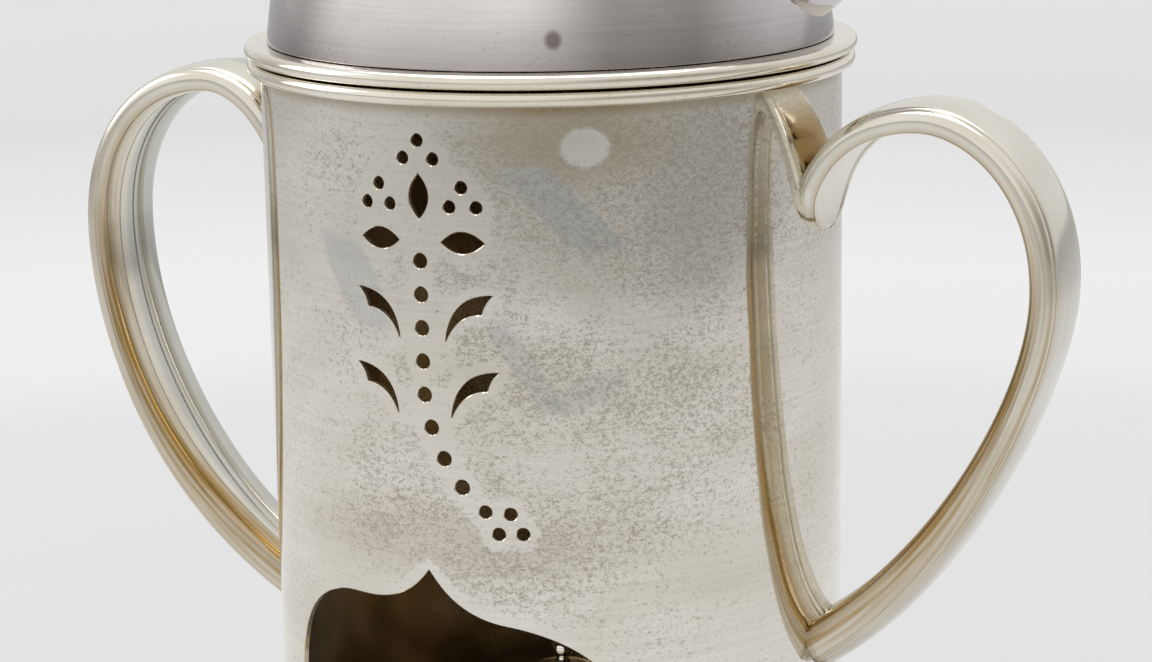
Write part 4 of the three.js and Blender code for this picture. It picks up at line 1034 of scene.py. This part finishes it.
# %% Spout
SPOUT_KEYS = np.array([
    # outwards, upwards, slimming, tilt in degrees
    (-0.25, 0, -0.04, -8), (0, 0.01, 0.03, -8), (0.16, 0.08, 0.27, 2), (0.34, 0.22, 0.55, 20),
    (0.54, 0.42, 0.78, 36), (0.75, 0.655, 0.91, 42), (1, 1, 1, 34)])
ROOT_MIDDLE = KETTLE_FOOT - 0.6 + 25
SPOUT_AROUND = 96
SPIN = spun(KETTLE_TURN)


def spline_at(keys, t):
    """A smooth spline through rows of keys, as the CAD draws it."""
    spot = t * (len(keys) - 1)
    i = min(int(spot), len(keys) - 2)
    w = spot - i
    p0, p1, p2, p3 = (keys[min(max(i + d, 0), len(keys) - 1)] for d in (-1, 0, 1, 2))
    v0, v1 = (p2 - p0) / 2, (p3 - p1) / 2
    return (2 * p1 - 2 * p2 + v0 + v1) * w ** 3 + (-3 * p1 + 3 * p2 - 2 * v0 - v1) * w * w + v0 * w + p1


def spout_section(t, inset):
    """A ring of points at a share of the spout's length, inside its outer skin by the inset."""
    out, up, slim, tilt = spline_at(SPOUT_KEYS, t)
    x = wall_radius(ROOT_MIDDLE) + 43.8 * out
    z = ROOT_MIDDLE + (KETTLE_TOP + 1.5 - ROOT_MIDDLE) * up
    wide, tall = (size + (7 - size) * slim - inset for size in (23.5, 25.0))
    tilt = radians(tilt)
    section = []
    for angle in round_steps(SPOUT_AROUND):
        lift, across = tall * sin(angle), wide * cos(angle)
        point = np.array([x - lift * sin(tilt), across, z + lift * cos(tilt)])
        # The root is trimmed to the wall and to the flange below it.
        point[2] = max(point[2], KETTLE_FOOT)
        point[:2] *= max(1.0, (wall_radius(point[2]) - 0.4) / hypot(point[0], point[1]))
        section.append(point)
    return section


shares = np.linspace(0.06, 1, 84)
mouth = [(1.0, 0.0), (1.0, 0.12), (1.0, 0.88)]
stations = [(t, 0.0) for t in shares[:-1]] + mouth + [(t, 1.0) for t in shares[::-1]]
points = np.vstack([spout_section(t, inset) for t, inset in stations])
faces = skin(len(stations), SPOUT_AROUND, closed=True)
piece("spout", moved(points, SPIN), faces, kettle_silver)

# %% [markdown]
# ## Fittings
# Lid, finial, hinge, swing handle and lamp are small turned, sawn and forged pieces. Turned ones use
# the lathe again, some of them laid on their side. Sawn ones are outlines with a thickness, and the
# file breaks their corners: a narrow bevel gives them the thin bright line that a sharp box never has.

# %% Helpers for the fittings
CRISP = radians(32)      # a bend between two faces above this is an edge


def laid(centre, way=(1, 0, 0), base=SPIN):
    """The matrix that lays a turned piece's axis along a direction, with its zero at the centre."""
    return base @ Matrix.Translation(centre) @ Vector(way).to_track_quat("Z", "Y").to_matrix().to_4x4()


def turned_part(profile, fillet, around, place):
    """The points and faces of a closed lathe profile."""
    points, faces, _ = lathe(profile, fillet, True, around)
    return moved(points, place), faces


def sawn(shape, thickness, matrix=Matrix.Identity(4)):
    """A flat outline with a thickness, standing in XZ from y = 0 until a matrix moves it."""
    count = len(shape)
    points = moved([(x, y, z) for y in (0, thickness) for x, z in shape], matrix)
    faces = [list(range(count)), list(range(2 * count - 1, count - 1, -1))]
    faces += [[i, i + count, (i + 1) % count + count, (i + 1) % count] for i in range(count)]
    return points, faces


def joined(name, material, bevel, *parts):
    """Joins (points, faces) parts into one piece and breaks its sharp edges."""
    points, faces = [], []
    for some_points, some_faces in parts:
        faces += [[c + len(points) for c in f] for f in some_faces]
        points += [tuple(p) for p in some_points]
    mesh = piece(name, points, faces, material).data
    body = bmesh.new()
    body.from_mesh(mesh)
    bmesh.ops.recalc_face_normals(body, faces=body.faces)
    sharp = [e for e in body.edges if e.is_manifold and e.calc_face_angle() > CRISP]
    if bevel:
        bmesh.ops.bevel(body, geom=sharp, offset=bevel * MM, segments=3, profile=0.5, affect="EDGES",
                        clamp_overlap=True)
    body.to_mesh(mesh)
    body.free()
    mesh.polygons.foreach_set("use_smooth", [True] * len(mesh.polygons))
    mesh.set_sharp_from_angle(angle=CRISP)


print("kettle turned by", KETTLE_TURN, "degrees")

# %% [markdown]
# The lid is a shallow dome with a lip that reaches down into the neck. A stem runs through the knob,
# with a button on top and a nut inside the lid.

# %% Lid and finial
LID_BOTTOM = COLLAR_TOP + SOLDER
LID_CROWN = LID_BOTTOM + 10.4
dome = [(5.2 + 24.6 * s, 1.4 + 9 * cos(radians(s * 90))) for s in np.linspace(1, 0, 22)]
hollow = [(r - 0.4, z - 1) for r, z in dome if r < 26.5]
lid = [(31.8, 0), (31.8, 1), (31.0, 1.35), (30.4, 1.15), *dome, (2.3, 10.4), (2.3, 9.4), *hollow[::-1],
       (27.4, 1), (27.4, -4), (28.4, -4), (28.4, 0)]
turned("lid", kettle_silver, LID_BOTTOM, lid, 0.35, True, 160)
stem = [(0, -4), (2, -4), (2, 0.1), (4, 0.1), (4.1, 0.8), (3.6, 1.3), (1.6, 1.7), (1.6, 15), (0, 15)]
turned("finial_stem", mount_silver, LID_CROWN, stem, 0.3)
knob = [(1.9, 2), (3.6, 2), (3.55, 2.7), (3.05, 3.2), (3.0, 4), *arc(3, 9.1, 4, -60, 75, 18), (3, 13.4),
        (1.9, 13.4)]
turned("finial_knob", ebonised_wood, LID_CROWN, knob, 0.35, True)
button = [(0, 0), (2.8, 0), (3, 0.6), (2.6, 1.2), (1.9, 1.6), (1.0, 1.9), (0, 2)]
turned("finial_button", mount_silver, LID_CROWN + 15.3, button, 0.3)
lying = SPIN @ Matrix.Translation((0, 0, LID_CROWN - 3.3)) @ spun(90, "X")
joined("finial_nut", mount_silver, 0.3, sawn(arc(0, 0, 4, 0, 300, 5), 2, lying))

# %% [markdown]
# Two knuckles stand on the neck and one is on the lid, round a loose pin, on the lid's far side. Each
# knuckle is a turned ring on its side, and the blocks that carry them are sawn.

# %% Hinge
HINGE_BACK, HINGE_HEIGHT = 34.5, LID_BOTTOM + 0.7
HINGE_LINE = laid((0, HINGE_BACK, HINGE_HEIGHT))


def knuckle(start, end):
    """A ring round the hinge's pin."""
    return turned_part([(1.2, start), (2.3, start), (2.3, end), (1.2, end)], 0.25, 40, HINGE_LINE)


def block(low_corner, high_corner):
    """A box between two corners, turned with the kettle."""
    (x1, y1, z1), (x2, y2, z2) = low_corner, high_corner
    place = SPIN @ Matrix.Translation((0, y1, 0))
    return sawn([(x1, z1), (x2, z1), (x2, z2), (x1, z2)], y2 - y1, place)


footing = SHOULDER_BOTTOM + 3
spans = (4.55, 9.55), (-9.55, -4.55)
standing = [block((a, HINGE_BACK - 1.2, footing), (b, HINGE_BACK + 1.2, HINGE_HEIGHT - 0.6))
            for a, b in spans]
standing.append(block((-9.55, HINGE_BACK - 2.5, footing),
                      (9.55, HINGE_BACK + 2.5, SHOULDER_BOTTOM + 7.9)))
joined("hinge_base", mount_silver, 0.25, *standing, *(knuckle(a, b) for a, b in spans))
strap = block((-4.2, 27.67, HINGE_HEIGHT + 1.1), (4.2, HINGE_BACK - 0.4, HINGE_HEIGHT + 2.3))
joined("hinge_leaf", mount_silver, 0.25, strap, knuckle(-4.2, 4.2))
pin = [(0, -10.15), (1.1, -10.15), (1.1, 10.15), (0, 10.15)]
turned("hinge_pin", mount_silver, 0, pin, 0.35, place=HINGE_LINE)

# %% [markdown]
# The swing handle turns on two pins through lugs on the shoulder. Each arm is forged flat at its eye,
# bows outwards and is round where it enters the ferrule, so it is skinned like the straps.

# %% Swing handle
PIVOT = SHOULDER_BOTTOM + 9.5
BAIL_REACH = TOP_RADIUS - 3.9
ARM_INSIDE = BAIL_REACH + 1.8
ARM_MIDDLE = ARM_INSIDE + 1.7
GRIP_HEIGHT = PIVOT + 72.0
ARM_AROUND = 32
bow, lug_foot = BAIL_REACH + 13.5, SHOULDER_BOTTOM + 1
lug = [*curve((6, lug_foot), (4, PIVOT - 3), (3.9, PIVOT), steps=8), *arc(0, PIVOT, 3.9, 0, 180, 24),
       *curve((-3.9, PIVOT), (-4, PIVOT - 3), (-6, lug_foot), steps=8)[1:], (-6, lug_foot)]
ARM_LINE = [(ARM_MIDDLE, PIVOT), (ARM_MIDDLE, PIVOT + 12), (bow, PIVOT + 20), (bow, PIVOT + 36),
            (bow, PIVOT + 54), *[(x, GRIP_HEIGHT) for x in (50, 38.5, 34, 30, 26)]]


def bail_arm():
    """Points and faces of the arm on the +X side."""
    points = []
    lengths = np.array([dist(ARM_LINE[i], ARM_LINE[i + 3]) for i in (0, 3, 6)])
    for part, t, here, way in stations_along(ARM_LINE, (30, 30, 30)):
        share = (lengths[:part].sum() + lengths[part] * t) / lengths.sum()
        lift = here[1] - PIVOT
        if lift < 2.3:
            continue
        half = smooth_between([(0, 4.0), (0.55, 3.2), (0.85, 2.4), (1, 2.4)], share)
        if lift < 4.4:
            half = min(half, sqrt(4.3 ** 2 - lift ** 2) + 0.4 * (lift - 2.3) + 0.1)
        thick = smooth_between([(0, 1.7), (0.55, 1.7), (0.85, 2.4), (1, 2.4)], share)
        points += [(here[0] + way[1] * thick * sin(a), half * cos(a),
                    here[1] - way[0] * thick * sin(a))
                   for a in round_steps(ARM_AROUND)]
    return points, skin(len(points) // ARM_AROUND, ARM_AROUND) + ends(len(points), ARM_AROUND)


for where, side in (("front", 0.0), ("rear", 180.0)):
    place = SPIN @ spun(side)
    axle = laid((0, 0, PIVOT), base=place)
    across = Matrix.Translation((BAIL_REACH + 1.5, 0, 0)) @ spun(90)
    joined(f"bail_lug_{where}", mount_silver, 0.4, sawn(lug, 3.0, place @ across))
    rivet = [(0, -3.5), (2.9, -3.5), (2.9, -1.8), (1.9, -1.8), (1.9, 5.5), (3.5, 5.5), (3.2, 6.5),
             (1.8, 7.05), (0, 7.1)]
    turned(f"bail_pin_{where}", mount_silver, BAIL_REACH, rivet, 0.4, place=axle)
    eye = [(2.0, ARM_INSIDE), (4.4, ARM_INSIDE), (4.4, ARM_INSIDE + 3.4), (2.0, ARM_INSIDE + 3.4)]
    points, faces = bail_arm()
    joined(f"bail_arm_{where}", kettle_silver, 0.0, (moved(points, place), faces),
           turned_part(eye, 0.5, 64, axle))
    ferrule = [(2.7, 31.1), (4.9, 31.1), (5.3, 31.9), (5.3, 32.3), (4.7, 33.1), (4.75, 33.9), (4.4, 36),
               (3.7, 38), (2.7, 38)]
    turned(f"bail_ferrule_{where}", mount_silver, 0, ferrule, 0.3, True,
           place=laid((0, 0, GRIP_HEIGHT), base=place))
grip = [(4.4 + 2.65 * cos(radians(s * 90)), s * 31) for s in np.linspace(-1, 1, 41)]
turned("bail_grip", ebonised_wood, 0, [(0, -31), *grip, (0, 31)], 0.6, around=96,
       place=laid((0, 0, GRIP_HEIGHT)))

# %% [markdown]
# The spirit lamp is a low turned font. The wick holder drops into its neck, the snuffer stands over the
# wick, and a fence on the stand's floor keeps the font in its place.

# %% Spirit lamp
LAMP_BOTTOM = FLOOR_TOP + SOLDER
FONT_TOP = LAMP_BOTTOM + 17
SNUFFER_TOP = FONT_TOP + 15
seat = SOLDER + 0.8
font = [(0, 0), (24, 0), *arc(24, 4, 4, -60, 0, 8), *arc(22, 8, 6, 0, 70, 14), (16, 14.6), (13.6, 15.2),
        (13, 15.8), (13, 17), (12, 17), (12, 14.4), *arc(22, 8, 5, 75, 0, 10),
        *arc(24, 4, 3, 0, -90, 8), (0, 1)]
turned("lamp_font", lamp_silver, LAMP_BOTTOM, font, 0.3, around=128)
holder = [(5.7, -4), (11.6, -4), (11.6, SOLDER), (13.4, SOLDER), (13.4, seat), (6.5, seat), (6.5, 7),
          (5.7, 7)]
turned("wick_holder", lamp_silver, FONT_TOP, holder, 0.3, True)
braid = [(0, 3), (4.4, 3), (5.4, 13), (5.4, 24.6), (4.9, 25.2), (4.2, 25.45), (0, 25.6)]
turned("wick", cotton, LAMP_BOTTOM, braid, 0.4)
snuffer = [(0, -0.8), (4.4, -1.3), (6.4, -2.1), (7.3, -3.4), (7.3, -13.6), (8.8, -13.6), (8.8, -12.7),
           (8.1, -12.3), (8.1, -2.6), (7.4, -1.6), (6.2, -0.8), (4.4, -0.3), (0, 0)]
turned("snuffer_cap", mount_silver, SNUFFER_TOP, snuffer, 0.3)
knob = [(0, 0), (2, 0), (1.5, 0.5), (1.3, 1.1), *arc(0, 3, 2.4, -50, 80, 12), (0, 5.4)]
turned("snuffer_knob", mount_silver, SNUFFER_TOP + SOLDER, knob, 0.25)
fence = [*arc(0, 0, 30.2, 0, 180, 72), (-30.2, -10), (-28.6, -10), *arc(0, 0, 28.6, 180, 0, 72),
         (28.6, -10), (30.2, -10)]
points, faces = sawn(fence[::-1], 2.5)
stood = [(x, z, LAMP_BOTTOM + y) for x, y, z in points]
joined("lamp_guide", lamp_silver, 0.4, (stood, faces))
